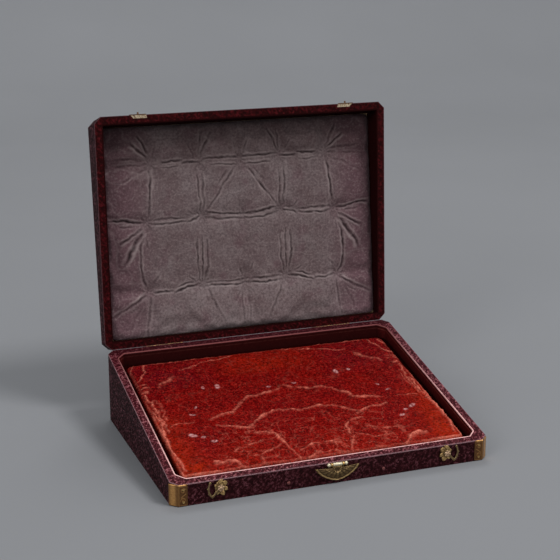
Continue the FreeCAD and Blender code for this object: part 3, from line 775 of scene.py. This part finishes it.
def pad_creases(x, y):
    """Height in mm, and the share of painted highlight along the raised creases, at points in mm."""
    wander_x = x + 1.8 * ripple(x, y, 8, 11) + 1.1 * ripple(x, y, 2.8, 12)
    wander_y = y + 1.8 * ripple(x, y, 8, 13) + 1.1 * ripple(x, y, 2.8, 14)
    height = np.zeros(x.shape)
    crest_highlight = np.zeros(x.shape)
    broken = np.clip(0.72 + 0.6 * ripple(x, y, 2.3, 15) + 0.25 * ripple(x, y, 6, 16), 0.1, 1.2)
    for path, rise, width in PAD_CREASES:
        distance, share = near_path(path, np.abs(wander_x), wander_y)
        taper = clamp(4 * share * (1 - share)) ** 0.3
        line = bell(distance, 0.75 * width) * taper * broken
        valley = bell(np.abs(distance) - 1.7 * width, width) * taper
        height += rise * (line - 0.3 * valley)
        crest_highlight = np.maximum(crest_highlight, line * (0.4 + 0.5 * rise))
    crushed = smooth_step((-20 - y) / 25) * smooth_step((95 - np.abs(x)) / 25)
    crushed = 0.18 + 0.82 * crushed * (0.6 + 0.4 * ripple(x, y, 14, 17))
    net = np.maximum(thin_net(x, y, 7, 0.16, 18), 0.8 * thin_net(y, x, 5, 0.16, 19)) * broken
    height += 0.35 * net * crushed
    crest_highlight = np.maximum(crest_highlight, 0.55 * net * crushed)
    return height, clamp(crest_highlight)


def pad_knots(x, y):
    """Share of small worn rings at points in mm."""
    share = np.zeros(x.shape)
    for knot_x, knot_y, half_width, half_height, turn in PAD_KNOTS:
        angle = math.radians(turn)
        side = np.abs(x) - knot_x
        up = y - knot_y
        across = (side * math.cos(angle) + up * math.sin(angle)) / half_width
        along = (up * math.cos(angle) - side * math.sin(angle)) / half_height
        share = np.maximum(share, bell(np.hypot(across, along) - 0.7, 0.4))
    return 0.85 * share * clamp(0.65 + 0.7 * ripple(x, y, 1.4, 20))


def paint_red_pad(piece, x, y, inside, border, crest_highlight, knots):
    """Where the pad has painted highlight, knots, painted shade, orange and purple, at points in mm."""
    # Painted highlight along the raised border, strongest toward the front.
    rubbed_and_lit = border * (0.25 + 0.75 * smooth_step((30 - y) / 30))
    rubbed_and_lit *= clamp(0.75 + 0.5 * ripple(x, y, 7, 26))
    rubbed_and_lit *= 1 - 0.55 * smooth_step((100 - np.abs(x)) / 30) * smooth_step((-70 - y) / 10)
    paint(piece, "crest_highlight", clamp(np.maximum(crest_highlight, 0.9 * rubbed_and_lit)))
    paint(piece, "knot", knots)
    # Painted shade where the pad falls into the gap at the wall.
    paint(piece, "gap", smooth_step((SHOULDER / MM - 0.6 - inside) / 1.6))
    sides = smooth_step((np.abs(x) - 92) / 26) * smooth_step((12 - y) / 30)
    rear = smooth_step((62 - np.abs(x)) / 40) * smooth_step((y - 44) / 14) * smooth_step((93 - y) / 8)
    front = smooth_step((-40 - y) / 40) * 0.35
    patchy = 0.65 + 0.35 * ripple(x, y, 16, 24)
    paint(piece, "orange", clamp((sides + 0.48 * rear + front) * patchy))
    corners = smooth_step((np.abs(x) - 42) / 34) * smooth_step((y - 20) / 34)
    paint(piece, "purple", clamp(corners * (0.7 + 0.3 * ripple(x, y, 11, 25))) * 0.8)


def red_pad():
    """A cushion with a raised border, lit by a painted highlight, that falls steeply to the rim's lining.
    """
    x, y = rounded_sheet(PAD_X, PAD_Y, PAD_CORNER, PAD_STEP)
    inside = border_distance(x, y)
    fall = smooth_step((SHOULDER - inside) / FALL)
    height = -0.93 * fall * (PAD_EDGE - pad_shoulder_depth(y))
    piece, points = soft_sheet("base_pad_cushion", x, y, height, RED, inside < SHOULDER + MM,
                               pressure=1.2, stretch=0.006, cap=1.2 * MM)
    x, y = points[:, 0] / MM, points[:, 1] / MM
    inside = border_distance(points[:, 0], points[:, 1]) / MM
    crease, crest_highlight = pad_creases(x, y)
    knots = pad_knots(x, y)
    crush = 0.5 * ridges(x, y, 13, 21) + 0.35 * ridges(x, y, 6.5, 22) + 0.3 * ripple(x, y, 3, 23)
    crush *= 1 - 0.6 * smooth_step((y - 68) / 16)
    free = smooth_step(inside / 3.0)
    points[:, 2] += (crease + crush + 0.4 * knots - 0.4) * MM * free
    border = bell(inside - SHOULDER / MM, 0.8)
    points[:, 2] += 0.9 * MM * border * smooth_step((60 - y) / 60)
    points[:, 2] += rim_height(points[:, 1]) - pad_shoulder_depth(points[:, 1])
    set_points(piece, points)
    paint_red_pad(piece, x, y, inside, border, crest_highlight * free, knots)
    close_back(piece, PAD_BACK)
    hand_over(piece, "base", ["base_pad"])


red_pad()

# ------------ the tufted pad in the lid
TUFTED_CORNER = 5 * MM
TUFTED_STEP = 3 * MM
TUFTED_BACK = 1.5 * MM
TUFTED_LIFT = 4.6 * MM    # the pad's face above its board
TUFT_RADIUS = 2.4 * MM    # how much of the cloth each tuft holds down
# Tufts and pleats of one half in mm, mirrored to the other. The first coordinate is the distance from
# the middle. The second runs from the pad's front edge, at -96, to its edge at the hinge, at 96.
TUFTS = [(0, -62), (41, -62), (86, -62), (0, -9), (39, -12), (93, -9), (0, 54), (41, 51), (95, 55)]
TUFT_ROWS = [-62, -9, 54]
# Each pleat: path, depth, width.
LID_PLEATS = [
    ([(120, -60.5), (100, -61), (86, -62)], 0.7, 1.0),
    ([(76, -63), (56, -63.5)], 1.4, 0.9),
    ([(78, -58), (66, -57.5), (57, -58)], 0.9, 0.8),
    ([(57, -61), (48, -62), (40, -62)], 1.2, 0.9),
    ([(37, -64), (20, -64), (2, -63.5)], 1.2, 0.9),
    ([(30, -57.5), (16, -57), (3, -57)], 1.1, 0.8),
    ([(87, -66), (95, -72), (104, -80)], 1.4, 1.1),
    ([(86, -67), (91, -77), (97, -88)], 1.1, 1.0),
    ([(84, -66), (80, -80)], 0.5, 0.9),
    ([(88, -58), (104, -52), (120, -44)], 0.6, 1.0),
    ([(88, -65), (104, -67), (120, -67)], 0.6, 1.0),
    ([(87, -56), (88, -40), (91, -16)], 1.2, 1.0),
    ([(39, -66), (34, -76), (27, -88)], 1.0, 1.0),
    ([(40, -67), (38, -78), (36, -90)], 0.8, 0.8),
    ([(44, -66), (50, -77)], 0.5, 0.8),
    ([(43, -56), (42, -34), (41, -16)], 0.9, 0.9),
    ([(38, -52), (37.5, -34), (37.5, -16)], 0.9, 0.9),
    ([(5, -55), (18, -38), (34, -17)], 1.0, 0.9),
    ([(13, -52), (24, -38)], 0.6, 0.9),
    ([(3, -66), (7, -78)], 0.5, 0.9),
    ([(130, -13), (116, -12.5), (97, -9)], 1.2, 0.9),
    ([(118, -7), (104, -7)], 0.9, 0.8),
    ([(88, -11), (70, -11.5), (56, -10.5)], 0.9, 0.8),
    ([(86, -7), (70, -7), (56, -8)], 1.3, 0.9),
    ([(56, -7), (48, -9), (41, -12)], 1.1, 0.9),
    ([(36, -15), (22, -12), (10, -11), (0, -10.5)], 1.2, 0.9),
    ([(34, -10), (20, -6.8), (0, -6.5)], 1.2, 0.9),
    ([(55, -18), (50, -14), (45, -14)], 0.8, 0.7),
    ([(97, -4), (108, 2), (120, 9)], 1.2, 1.0),
    ([(97, -1), (106, 12), (117, 30)], 1.2, 1.6),
    ([(94, 2), (93, 14)], 0.5, 0.8),
    ([(96, 4), (100, 14), (100.5, 32), (99, 44), (95, 53)], 1.1, 1.0),
    ([(46.5, 8), (46.5, 30), (44, 48)], 0.9, 0.9),
    ([(41.5, 6), (41.5, 30), (41.5, 48)], 0.9, 0.8),
    ([(36.5, 10), (36.5, 34), (39, 48)], 0.8, 0.9),
    ([(130, 75), (116, 69), (106, 63), (97, 57)], 1.5, 1.1),
    ([(114, 73), (104, 67.5)], 0.8, 0.8),
    ([(90, 55), (80, 55.5), (70, 55.5)], 1.2, 0.9),
    ([(70, 57), (60, 54), (46, 52)], 1.4, 0.9),
    ([(68, 53), (58, 50), (50, 49.5)], 1.0, 0.8),
    ([(36, 50.5), (20, 51), (0, 51)], 0.9, 0.8),
    ([(38, 53.5), (20, 55), (0, 54.5)], 1.4, 0.9),
    ([(93, 60), (94, 74), (98, 98)], 1.0, 1.0),
    ([(37, 58), (32, 70), (22, 90)], 1.1, 1.1),
    ([(3.5, 60), (3.5, 80), (3.5, 99)], 0.8, 0.9),
    ([(5, 60), (12, 72)], 0.6, 0.9),
    ([(3, 48), (7, 36)], 0.5, 0.9),
    ([(90, 46), (82, 37)], 0.6, 0.9),
    ([(56, 44), (48, 48)], 0.7, 0.8),
    ([(98, 62), (108, 78), (116, 97)], 0.5, 1.0),
]


def lid_pleats(x, y):
    """Height in mm, shares of painted shade in folds and painted highlight on their lips, at points in mm.
    """
    wander_x = np.abs(x + 0.9 * ripple(x, y, 8, 31)) + 0.5 * ripple(x, y, 3, 32)
    wander_y = y + 0.9 * ripple(x, y, 8, 33) + 0.5 * ripple(x, y, 3, 34)
    broken = np.clip(0.62 + 0.55 * ripple(x, y, 5.5, 35) + 0.35 * ripple(x, y, 2.4, 36), 0.12, 1.15)
    height = np.zeros(x.shape)
    fold = np.zeros(x.shape)
    lip_highlight = np.zeros(x.shape)
    for path, depth, width in LID_PLEATS:
        distance, share = near_path(path, wander_x, wander_y)
        taper = clamp(4 * share * (1 - share)) ** 0.4
        firm = broken ** max(0.25, 1.5 - depth)
        groove = bell(distance, 0.9 * width) * taper * firm
        crests = bell(np.abs(distance) - 1.9 * width, 0.8 * width) * taper * firm
        height += 0.7 * depth * (0.5 * crests - groove)
        fold = np.maximum(fold, groove * depth)
        lip_highlight = np.maximum(lip_highlight, crests * depth * np.where(distance > 0, 1.0, 0.6))
    for tuft_x, tuft_y in TUFTS:
        reach = np.hypot(np.abs(x) - tuft_x, y - tuft_y)
        angle = np.arctan2(y - tuft_y, np.abs(x) - tuft_x)
        gathers = np.sin(angle * 9 + tuft_x)
        height += 0.5 * gathers * bell(reach - 4, 3.2)
    return height, clamp(fold), clamp(lip_highlight)


def lid_puff(x, y):
    """Slow swelling of the lid's pad between its tufts, in mm."""
    height = np.zeros(x.shape)
    for row in TUFT_ROWS:
        height -= 1.3 * bell(y - row, 7)
    for tuft_x, tuft_y in TUFTS:
        reach = np.hypot(np.abs(x) - tuft_x, y - tuft_y)
        height -= 1.7 * bell(reach, 7)
    return height


def tufted_pad():
    """A pad held down at its tufts, shaped lying flat and then turned up into the lid."""
    front_y, front_z, rear_y, rear_z = lid_pad_plane()
    middle_y = (front_y + rear_y) / 2
    half_y = (rear_y - front_y) / 2
    x, y = rounded_sheet(PAD_X, half_y, TUFTED_CORNER, TUFTED_STEP)
    inside = edge_distance(x, y, PAD_X, half_y, TUFTED_CORNER)
    level = lid_puff(x / MM, y / MM) * MM
    height = TUFTED_LIFT - 2.6 * MM * (1 - smooth_step(inside / (5 * MM))) + level
    held = inside < MM
    for tuft_x, tuft_y in TUFTS:
        held |= np.hypot(np.abs(x) - tuft_x * MM, y - tuft_y * MM) < TUFT_RADIUS
    piece, points = soft_sheet("lid_tufted_lining", x, y, height, GREY, held,
                               pressure=2.0, stretch=0.03, cap=1.8 * MM)
    x, y = points[:, 0] / MM, points[:, 1] / MM
    inside = edge_distance(points[:, 0], points[:, 1], PAD_X, half_y, TUFTED_CORNER) / MM
    free = smooth_step(inside / 2.5)
    pleat, fold, lip_highlight = lid_pleats(x, y)
    slack = 0.3 * ripple(x, y, 11, 41) + 0.16 * ripple(x, y, 4, 42) + 0.2 * ridges(x, y, 9, 43)
    calm = 1 - 0.5 * smooth_step((y - 57) / 10)
    points[:, 2] += (pleat + slack) * MM * free * calm
    down = y * MM + middle_y
    # Painted shade in the folds and painted highlight on the lips of the pleats.
    paint(piece, "fold", clamp(fold * 0.95 * calm))
    paint(piece, "lip_highlight", clamp(lip_highlight * 0.6 + 0.22 * thin_net(x, y, 13, 0.1, 44)) * calm)
    paint(piece, "side", smooth_step((np.abs(x) - 72) / 45))
    # Painted shade, darkest at the pad's front edge, the top as the lid stands open, fading toward the
    # hinge.
    upper = smooth_step((-38 * MM - down) / (40 * MM))
    middle = smooth_step((62 * MM - down) / (30 * MM))
    paint(piece, "soot", 0.45 * upper + 0.20 * middle)
    set_points(piece, points)
    close_back(piece, TUFTED_BACK)
    points = get_points(piece.data)
    share = (points[:, 1] + half_y) / (2 * half_y)
    points[:, 2] = front_z + (rear_z - front_z) * share - points[:, 2]
    points[:, 1] += middle_y
    set_points(piece, points)
    piece.data.flip_normals()
    piece.data.transform(TO_REST)
    hand_over(piece, "lid", ["lid_pad"])


tufted_pad()


# ------------ piping along the base rim
def cut_rectangle(half_x, half_y, cut):
    """The eight corners of a rectangle whose own corners are cut off at 45 degrees."""
    corners = []
    for sign_x, sign_y in ((1, -1), (1, 1), (-1, 1), (-1, -1)):
        along_y = Vector((sign_x * half_x, sign_y * (half_y - cut), 0))
        along_x = Vector((sign_x * (half_x - cut), sign_y * half_y, 0))
        corners += [along_x, along_y] if sign_x * sign_y < 0 else [along_y, along_x]
    return corners


def rounded_loop(corners, radius):
    """A closed loop of points through corners, each rounded by a short curve."""
    steps = 5
    points = []
    count = len(corners)
    for index, corner in enumerate(corners):
        before = (corners[index - 1] - corner).normalized() * radius
        after = (corners[(index + 1) % count] - corner).normalized() * radius
        for step in range(steps + 1):
            t = step / steps
            points.append(corner + before * (1 - t) ** 2 + after * t ** 2)
    return points


def tube(name, path, radii, material):
    """A closed loop of round section along points; radii are its half width and half height."""
    sides = 10
    count = len(path)
    points = []
    for index, point in enumerate(path):
        along = (path[(index + 1) % count] - path[index - 1]).normalized()
        side = along.cross(Vector((0, 0, 1))).normalized()
        up = side.cross(along)
        for step in range(sides):
            angle = 2 * math.pi * step / sides
            points.append(point + side * radii[0] * math.cos(angle) + up * radii[1] * math.sin(angle))
    return mesh_piece(name, points, ring_faces(count, sides), material)


def rim_piping():
    """A thin bead sunk in the inner edge of the base's rim."""
    inset = WALL + 0.65 * MM
    corners = cut_rectangle(HALF_X - inset, HALF_Y - inset, LINING_CUT - 0.4 * MM)
    path = rounded_loop(corners, 1.6 * MM)
    dense = []
    for here, there in zip(path, path[1:] + path[:1]):
        pieces = max(1, int((there - here).length / (3 * MM)))
        dense += [here.lerp(there, step / pieces) for step in range(pieces)]
    path = [Vector((point.x, point.y, rim_height(point.y) - 0.6 * MM)) for point in dense]
    piece = tube("rim_piping", path, (0.62 * MM, 0.72 * MM), PINK)
    hand_over(piece, "base", ["base_rim_bead"])


rim_piping()

# ------------ brass corner mounts, sizes in mm
MOUNT_THICK = 0.7
MOUNT_FLANGE = 7.4        # width of the engraved flange on the front
MOUNT_LAP = 0.6           # how far the strip reaches past the cut, on to the side
MOUNT_LOW = 0.6           # heights of the lower and upper edges
MOUNT_TOP = RIM_FRONT / MM - 0.15


def scroll_relief(s, z, width, height):
    """Engraving on a corner mount's flange: two scrolls and a stem, raised above a dark ground."""
    line = np.full(s.shape, FAR)
    for centre, start, sign in (((0.5, 0.76), 0.4, 1), ((0.5, 0.28), 3.5, -1)):
        points = curl_points((centre[0] * width, centre[1] * height), start, 1.15 * sign, 2.4, 0.5, 16)
        distance, _ = near_path(points, s, z)
        line = np.minimum(line, np.abs(distance))
    stem = [(across * width, up * height) for across, up in ((0.25, 0.42), (0.5, 0.52), (0.78, 0.6))]
    distance, _ = near_path(stem, s, z)
    line = np.minimum(line, np.abs(distance))
    return bell(line, 0.34)


def corner_mount():
    """The left mount: a plain strip on the corner's cut and an engraved flange on the front."""
    x0, y0 = -HALF_X / MM, -HALF_Y / MM
    cut = CUT / MM
    outline = [(x0, y0 + cut + MOUNT_LAP), (x0, y0 + cut), (x0 + cut, y0), (x0 + cut + MOUNT_FLANGE, y0)]
    reach = np.cumsum([0] + [math.dist(a, b) for a, b in zip(outline, outline[1:])])
    total = reach[-1]
    s, z = np.meshgrid(np.linspace(0, total, 72), np.linspace(MOUNT_LOW, MOUNT_TOP, 82))
    plan_x, plan_y = [np.interp(s, reach, values) for values in zip(*outline)]
    flange_start = total - MOUNT_FLANGE
    on_flange = smooth_step((s - flange_start) / 0.5)
    side_bend = clamp((s - MOUNT_LAP + 0.4) / 1.2)
    front_bend = clamp((s - flange_start + 1.2) / 2.4)
    angle = math.pi + side_bend * math.pi / 4 + front_bend * math.pi / 4
    border = np.minimum.reduce([total - s, s - flange_start, z - MOUNT_LOW, MOUNT_TOP - 1.4 - z])
    frame_line = 0.8 * bell(border - 0.45, 0.28) * on_flange
    carved = scroll_relief(s - flange_start, z - MOUNT_LOW, MOUNT_FLANGE, MOUNT_TOP - MOUNT_LOW - 1.6)
    raised = np.maximum(frame_line, carved * smooth_step((border - 0.4) / 0.5))
    ground = on_flange * (1 - 0.6 * clamp(raised) ** 2) * (MOUNT_TOP - 1.3 > z)
    # Painted shadow along the flange's outer edge.
    ground = np.maximum(ground, 0.95 * smooth_step((s - total + 1.8) / 0.6))
    # The plain strip: bright middle and dark edges, painted highlight and shade of a rounded face, with
    # wear and patina.
    rubbed_and_lit = np.exp(-((s / flange_start - 0.44) / 0.3) ** 4)
    ground = np.maximum(ground, 0.8 * (1 - rubbed_and_lit) * (1 - on_flange))
    cap = bell(z - MOUNT_TOP + 0.7, 0.55)
    edge = np.minimum.reduce([s, total - s, z - MOUNT_LOW, MOUNT_TOP - z])
    round_off = 1 - np.sqrt(1 - clamp(1 - edge / 0.35) ** 2)
    lift = MOUNT_THICK - 0.28 * on_flange + 0.3 * raised * on_flange + 0.22 * cap - 0.5 * round_off
    front = np.stack([plan_x + np.cos(angle) * lift, plan_y + np.sin(angle) * lift, z], -1)
    back = np.stack([plan_x, plan_y, z], -1)
    return slab("corner_mount_engraved_left", front, back, ground, MOUNT_BRASS)


hand_over_pair(corner_mount(), "corner_mount_", "base")

# ------------ fan-shaped flap, sizes in mm
flap_axis = Vector(joints["flap_hinge"]["pos_m"])
AXIS_Y = flap_axis.y / MM
AXIS_Z = flap_axis.z / MM
fan_low, fan_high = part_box("flap_fan")
FAN_HALF = fan_high.x / MM
FAN_TOP = 15.2            # heights of its upper edge and its lowest point
FAN_LOW = fan_low.z / MM
FAN_BACK = -HALF_Y / MM - 1.4
FLUTES = 11


def fan_shell():
    """The fan: a scalloped shell with a raised border, flutes and a small arch at the top."""
    angle, reach = np.meshgrid(np.linspace(0, math.pi, 177), np.linspace(0.0, 1.0, 46))
    scallop = 1 - 0.02 * (1 - np.abs(np.sin(angle * FLUTES)))
    along = reach * scallop
    x = -np.cos(angle) * along * FAN_HALF
    drop = (1 - np.abs(np.cos(angle)) ** 1.6) ** 0.68
    z = FAN_TOP - 0.9 * np.abs(np.cos(angle)) ** 6 * (1 - along) - drop * along * (FAN_TOP - FAN_LOW)
    flute = np.abs(np.sin(angle * FLUTES)) ** 0.7
    body = smooth_step((reach - 0.22) / 0.15) * smooth_step((0.86 - reach) / 0.08)
    border = bell(reach - 0.93, 0.045)
    arch_reach = np.hypot(x / 3.4, (z - FAN_TOP) / 4.9)
    arch = bell(arch_reach - 1.0, 0.16)
    hollow = smooth_step((0.95 - arch_reach) / 0.2)
    petal_ring = bell(reach - 0.52, 0.05)
    relief = 0.42 * flute * body + 0.6 * border + 0.5 * arch - 0.3 * hollow + 0.2 * petal_ring * body
    dome = 0.5 * np.sin(angle) * (1 - reach ** 2)
    rim_fall = 0.6 * smooth_step((reach - 0.97) / 0.03)
    lift = 0.75 + relief + dome - rim_fall
    ground = clamp(1.55 - relief * 1.8) * (1 - border) + hollow
    front = np.stack([x, FAN_BACK - lift, z], -1)
    back = np.stack([x, np.full(x.shape, FAN_BACK), z], -1)
    return slab("flap_fan_shell", front, back, ground, FAN_BRASS)


def knuckle():
    """The flap's own knuckle round the bar, with turned beads and a bore."""
    # distance from the middle and radius, from the bore's end inwards
    half = [(3.9, 0.9), (3.9, 1.25), (3.6, 1.4), (1.6, 1.3), (1.3, 1.45)]
    profile = [(-x, radius) for x, radius in half] + [(0, 1.35)] + half[::-1]
    sides = 24
    points = []
    for x, radius in profile:
        for side in range(sides):
            angle = 2 * math.pi * side / sides
            points.append((x, AXIS_Y + radius * math.cos(angle), AXIS_Z + radius * math.sin(angle)))
    return mesh_piece("flap_knuckle", np.array(points) * MM, ring_faces(len(profile), sides), PALE_BRASS)


def flap_neck():
    """A short neck from the knuckle down to the shell."""
    casting = Casting()
    for x in (-3.0, -1.5, 0.0, 1.5, 3.0):
        casting.lump((x, AXIS_Y, 15.6), (1.1, 0.62, 1.5))
    return casting.melt("flap_neck", LATCH_BRASS)


hand_over(fan_shell(), "flap", ["flap_fan"])
hand_over(knuckle(), "flap")
hand_over(flap_neck(), "flap")

# ------------ scroll latches, sizes in mm
# Angles are in the front plane, from the right and towards the top.
LATCH = Vector(joints["latch_left_pivot"]["pos_m"]) / MM
FACE = -HALF_Y / MM
HOOK_Y = FACE - 1.6
HOOK_REACH = 10.0         # pivot to the middle of the finger
HOOK_STEM = math.radians(226)   # where the stem meets the finger, and where the finger ends
HOOK_TIP = math.radians(150)


def around(radius, angle):
    """A place at a distance and an angle from the left latch's pivot."""
    return LATCH.x + radius * math.cos(angle), LATCH.z + radius * math.sin(angle)


def latch_plate():
    """The left latch's back plate: a leafy blot with curled lobes, most of them on its inner side."""
    casting = Casting()
    casting.lump((LATCH.x, FACE - 0.1, LATCH.z), (4.6, 0.8, 4.8))
    lobes = [((-0.2, 4.6), 2.1, 1.3, 1), ((3.9, 3.1), 2.3, 2.4, -1), ((4.5, -1.3), 1.9, 4.4, 1),
             ((2.2, -4.9), 2.2, 5.2, -1), ((-1.9, -4.6), 1.5, 4.0, -1)]
    for (dx, dz), size, start, sign in lobes:
        centre = (LATCH.x + dx, LATCH.z + dz)
        path = curl_points(centre, start, 1.25 * sign, size - 0.6, 0.3)
        casting.trail(path, np.linspace(0.66, 0.52, len(path)), 0.55, FACE - 0.75)
        casting.lump((centre[0], FACE - 0.2, centre[1]), (size * 0.92, 0.75, size * 0.92))
    for angle, reach in ((35, 5.0), (75, 5.4), (-25, 5.2), (-62, 5.6)):
        turn = math.radians(angle)
        x, z = around(reach, turn)
        casting.lump((x, FACE - 0.5, z), (1.9, 0.6, 0.75), turn)
    for dx, dz in ((-2.6, -3.6), (-3.4, 1.6), (-1.8, 3.2)):
        casting.lump((LATCH.x + dx, FACE - 0.1, LATCH.z + dz), (1.6, 0.75, 1.6))
    return casting.melt("latch_scroll_plate_left", LATCH_BRASS)


def latch_hook():
    """The left hook: a hub ring, a stem down to the elbow and a tapered finger up the outer side."""
    casting = Casting()
    ring = [around(2.15, 2 * math.pi * step / 30) for step in range(30)]
    casting.trail(ring, [0.85] * 30, 0.5, HOOK_Y)
    stem = [around(2.8 + (HOOK_REACH - 2.8) * step / 14, HOOK_STEM) for step in range(15)]
    casting.trail(stem, np.linspace(1.15, 0.95, 15), 0.5, HOOK_Y)
    arc = [around(HOOK_REACH, HOOK_STEM + (HOOK_TIP - HOOK_STEM) * step / 30) for step in range(31)]
    casting.trail(arc, np.linspace(1.0, 0.72, 31), 0.5, HOOK_Y)
    tip = around(HOOK_REACH, HOOK_TIP)
    casting.lump((tip[0], HOOK_Y, tip[1]), (1.15, 0.52, 1.15))
    for share in (0.3, 0.62):
        x, z = around(HOOK_REACH + 0.5, HOOK_STEM + (HOOK_TIP - HOOK_STEM) * share)
        casting.lump((x, HOOK_Y, z), (1.0, 0.5, 0.8), 0.6)
    return casting.melt("latch_finger_left", HOOK_BRASS, 0.14 * MM, 2)


def latch_rosette():
    """The left rivet's head: a small flower on a shank that holds the hook."""
    casting = Casting()
    casting.lump((LATCH.x, FACE - 3.0, LATCH.z), (1.35, 0.55, 1.35))
    casting.lump((LATCH.x, FACE - 2.7, LATCH.z), (2.4, 0.28, 2.4))
    for petal in range(6):
        angle = 2 * math.pi * petal / 6 + 0.3
        x, z = around(2.1, angle)
        casting.lump((x, FACE - 2.78, z), (1.0, 0.4, 0.78), angle)
    for step in range(6):
        casting.lump((LATCH.x, FACE - 2.4 + step * 0.9, LATCH.z), (0.95, 0.8, 0.95))
    return casting.melt("latch_rosette_left", ROSE_BRASS, 0.13 * MM, 2)


hand_over_pair(latch_plate(), "latch_plate_", "base")
hand_over_pair(latch_rosette(), "latch_rivet_", "base")
hand_over_pair(latch_hook(), "latch_hook_")

# ------------ carried-over nodes
CAD_LOOKS = {
    "base_side_leather": OUTER_LEATHER, "lid_side_leather": OUTER_LEATHER,
    "base_rim_leather": RIM_LEATHER, "lid_rim_leather": LID_RIM_LEATHER,
    "base_lining": LINING, "lid_lining": LID_LINING,
    "base_pad_board": PAD_BOARD, "base_underside": UNDERSIDE, "front_studs": STUD_BRASS,
    "lid_catch_left": CATCH_BRASS, "lid_catch_right": CATCH_BRASS, "flap_pin": PALE_BRASS,
}
BRASS_STARTS = ("corner_mount", "flap", "hinge", "latch", "lid_catch", "front_studs")
# How much the edges are rounded, in mm.
LEATHER_ROUNDING = {"base_side_leather": 0.5, "lid_side_leather": 0.5,
                    "base_rim_leather": 0.06, "lid_rim_leather": 0.06}
BRASS_ROUNDING = 0.12


def soften(node, width):
    """Round a node's sharp edges a little, as its leather or metal is."""
    weld = node.modifiers.new("weld", "WELD")
    weld.merge_threshold = 0.001 * MM
    bevel = node.modifiers.new("bevel", "BEVEL")
    bevel.width = width * MM
    bevel.segments = 3
    bevel.limit_method = "ANGLE"
    bevel.angle_limit = math.radians(30)
    bevel.harden_normals = True


for name, node in nodes.items():
    default = BRASS if name.startswith(BRASS_STARTS) else WOOD
    node.data.materials.clear()
    node.data.materials.append(CAD_LOOKS.get(name, default))
    if name in LEATHER_ROUNDING:
        soften(node, LEATHER_ROUNDING[name])
    elif default is BRASS:
        soften(node, BRASS_ROUNDING)


# ------------ floor, light and camera
FLOOR_REACH = 12.0        # metres to either side, and in front
FLOOR_BEND = [(1.6, 0.0), (2.0, 0.05), (2.3, 0.2), (2.5, 0.5), (2.6, 3.5)]


def stage_floor():
    """A floor that bends up into a backdrop behind the box."""
    look = Look("floor_grey", roughness=0.9)
    tone = look.noise(0.4, 2)
    colour = look.tint((0.180, 0.184, 0.194), (0.188, 0.192, 0.203), tone, 0.3, 0.7)
    profile = [(-FLOOR_REACH, 0.0)] + FLOOR_BEND
    points = [(x, y, z) for y, z in profile for x in (-FLOOR_REACH, FLOOR_REACH)]
    floor = mesh_piece("floor", points, grid_faces(len(profile), 2), look.finish(colour))


def area_light(name, place, aim, size, power):
    data = bpy.data.lights.new(name, "AREA")
    data.shape = "DISK"
    data.size = size
    data.energy = power
    lamp = new_object(name, data)
    lamp.location = place
    lamp.rotation_euler = (Vector(aim) - Vector(place)).to_track_quat("-Z", "Y").to_euler()


def camera():
    """Looks at the box from the front, a little from its left and from above."""
    azimuth, elevation = math.radians(-20.5), math.radians(15.6)
    aim = Vector((0.0010, 0.0307, 0.1371))
    distance = 1.2
    level = math.cos(elevation)
    away = Vector((math.sin(azimuth) * level, -math.cos(azimuth) * level, math.sin(elevation)))
    data = bpy.data.cameras.new("camera")
    data.sensor_width = 36
    data.lens = 87.5
    data.clip_start = 0.01
    lens = new_object("camera", data)
    lens.location = aim + away * distance
    lens.rotation_euler = (-away).to_track_quat("-Z", "Y").to_euler()
    bpy.context.scene.camera = lens


def sky(strength, colour):
    world = bpy.data.worlds.new("studio")
    world.use_nodes = True
    background = world.node_tree.nodes["Background"]
    background.inputs["Color"].default_value = (*colour, 1)
    background.inputs["Strength"].default_value = strength
    bpy.context.scene.world = world


stage_floor()
sky(0.62, (0.95, 0.98, 1.0))
area_light("key", (2.3, -2.4, 4.4), aim=(0, 0, 0.1), size=1.6, power=170)
area_light("fill", (-3.4, -2.4, 2.2), aim=(0, 0, 0.1), size=2.0, power=62)
area_light("rear", (0.6, 2.0, 3.2), aim=(0, 0.4, 0.1), size=1.5, power=35)
camera()
bpy.context.scene.view_settings.view_transform = "Standard"
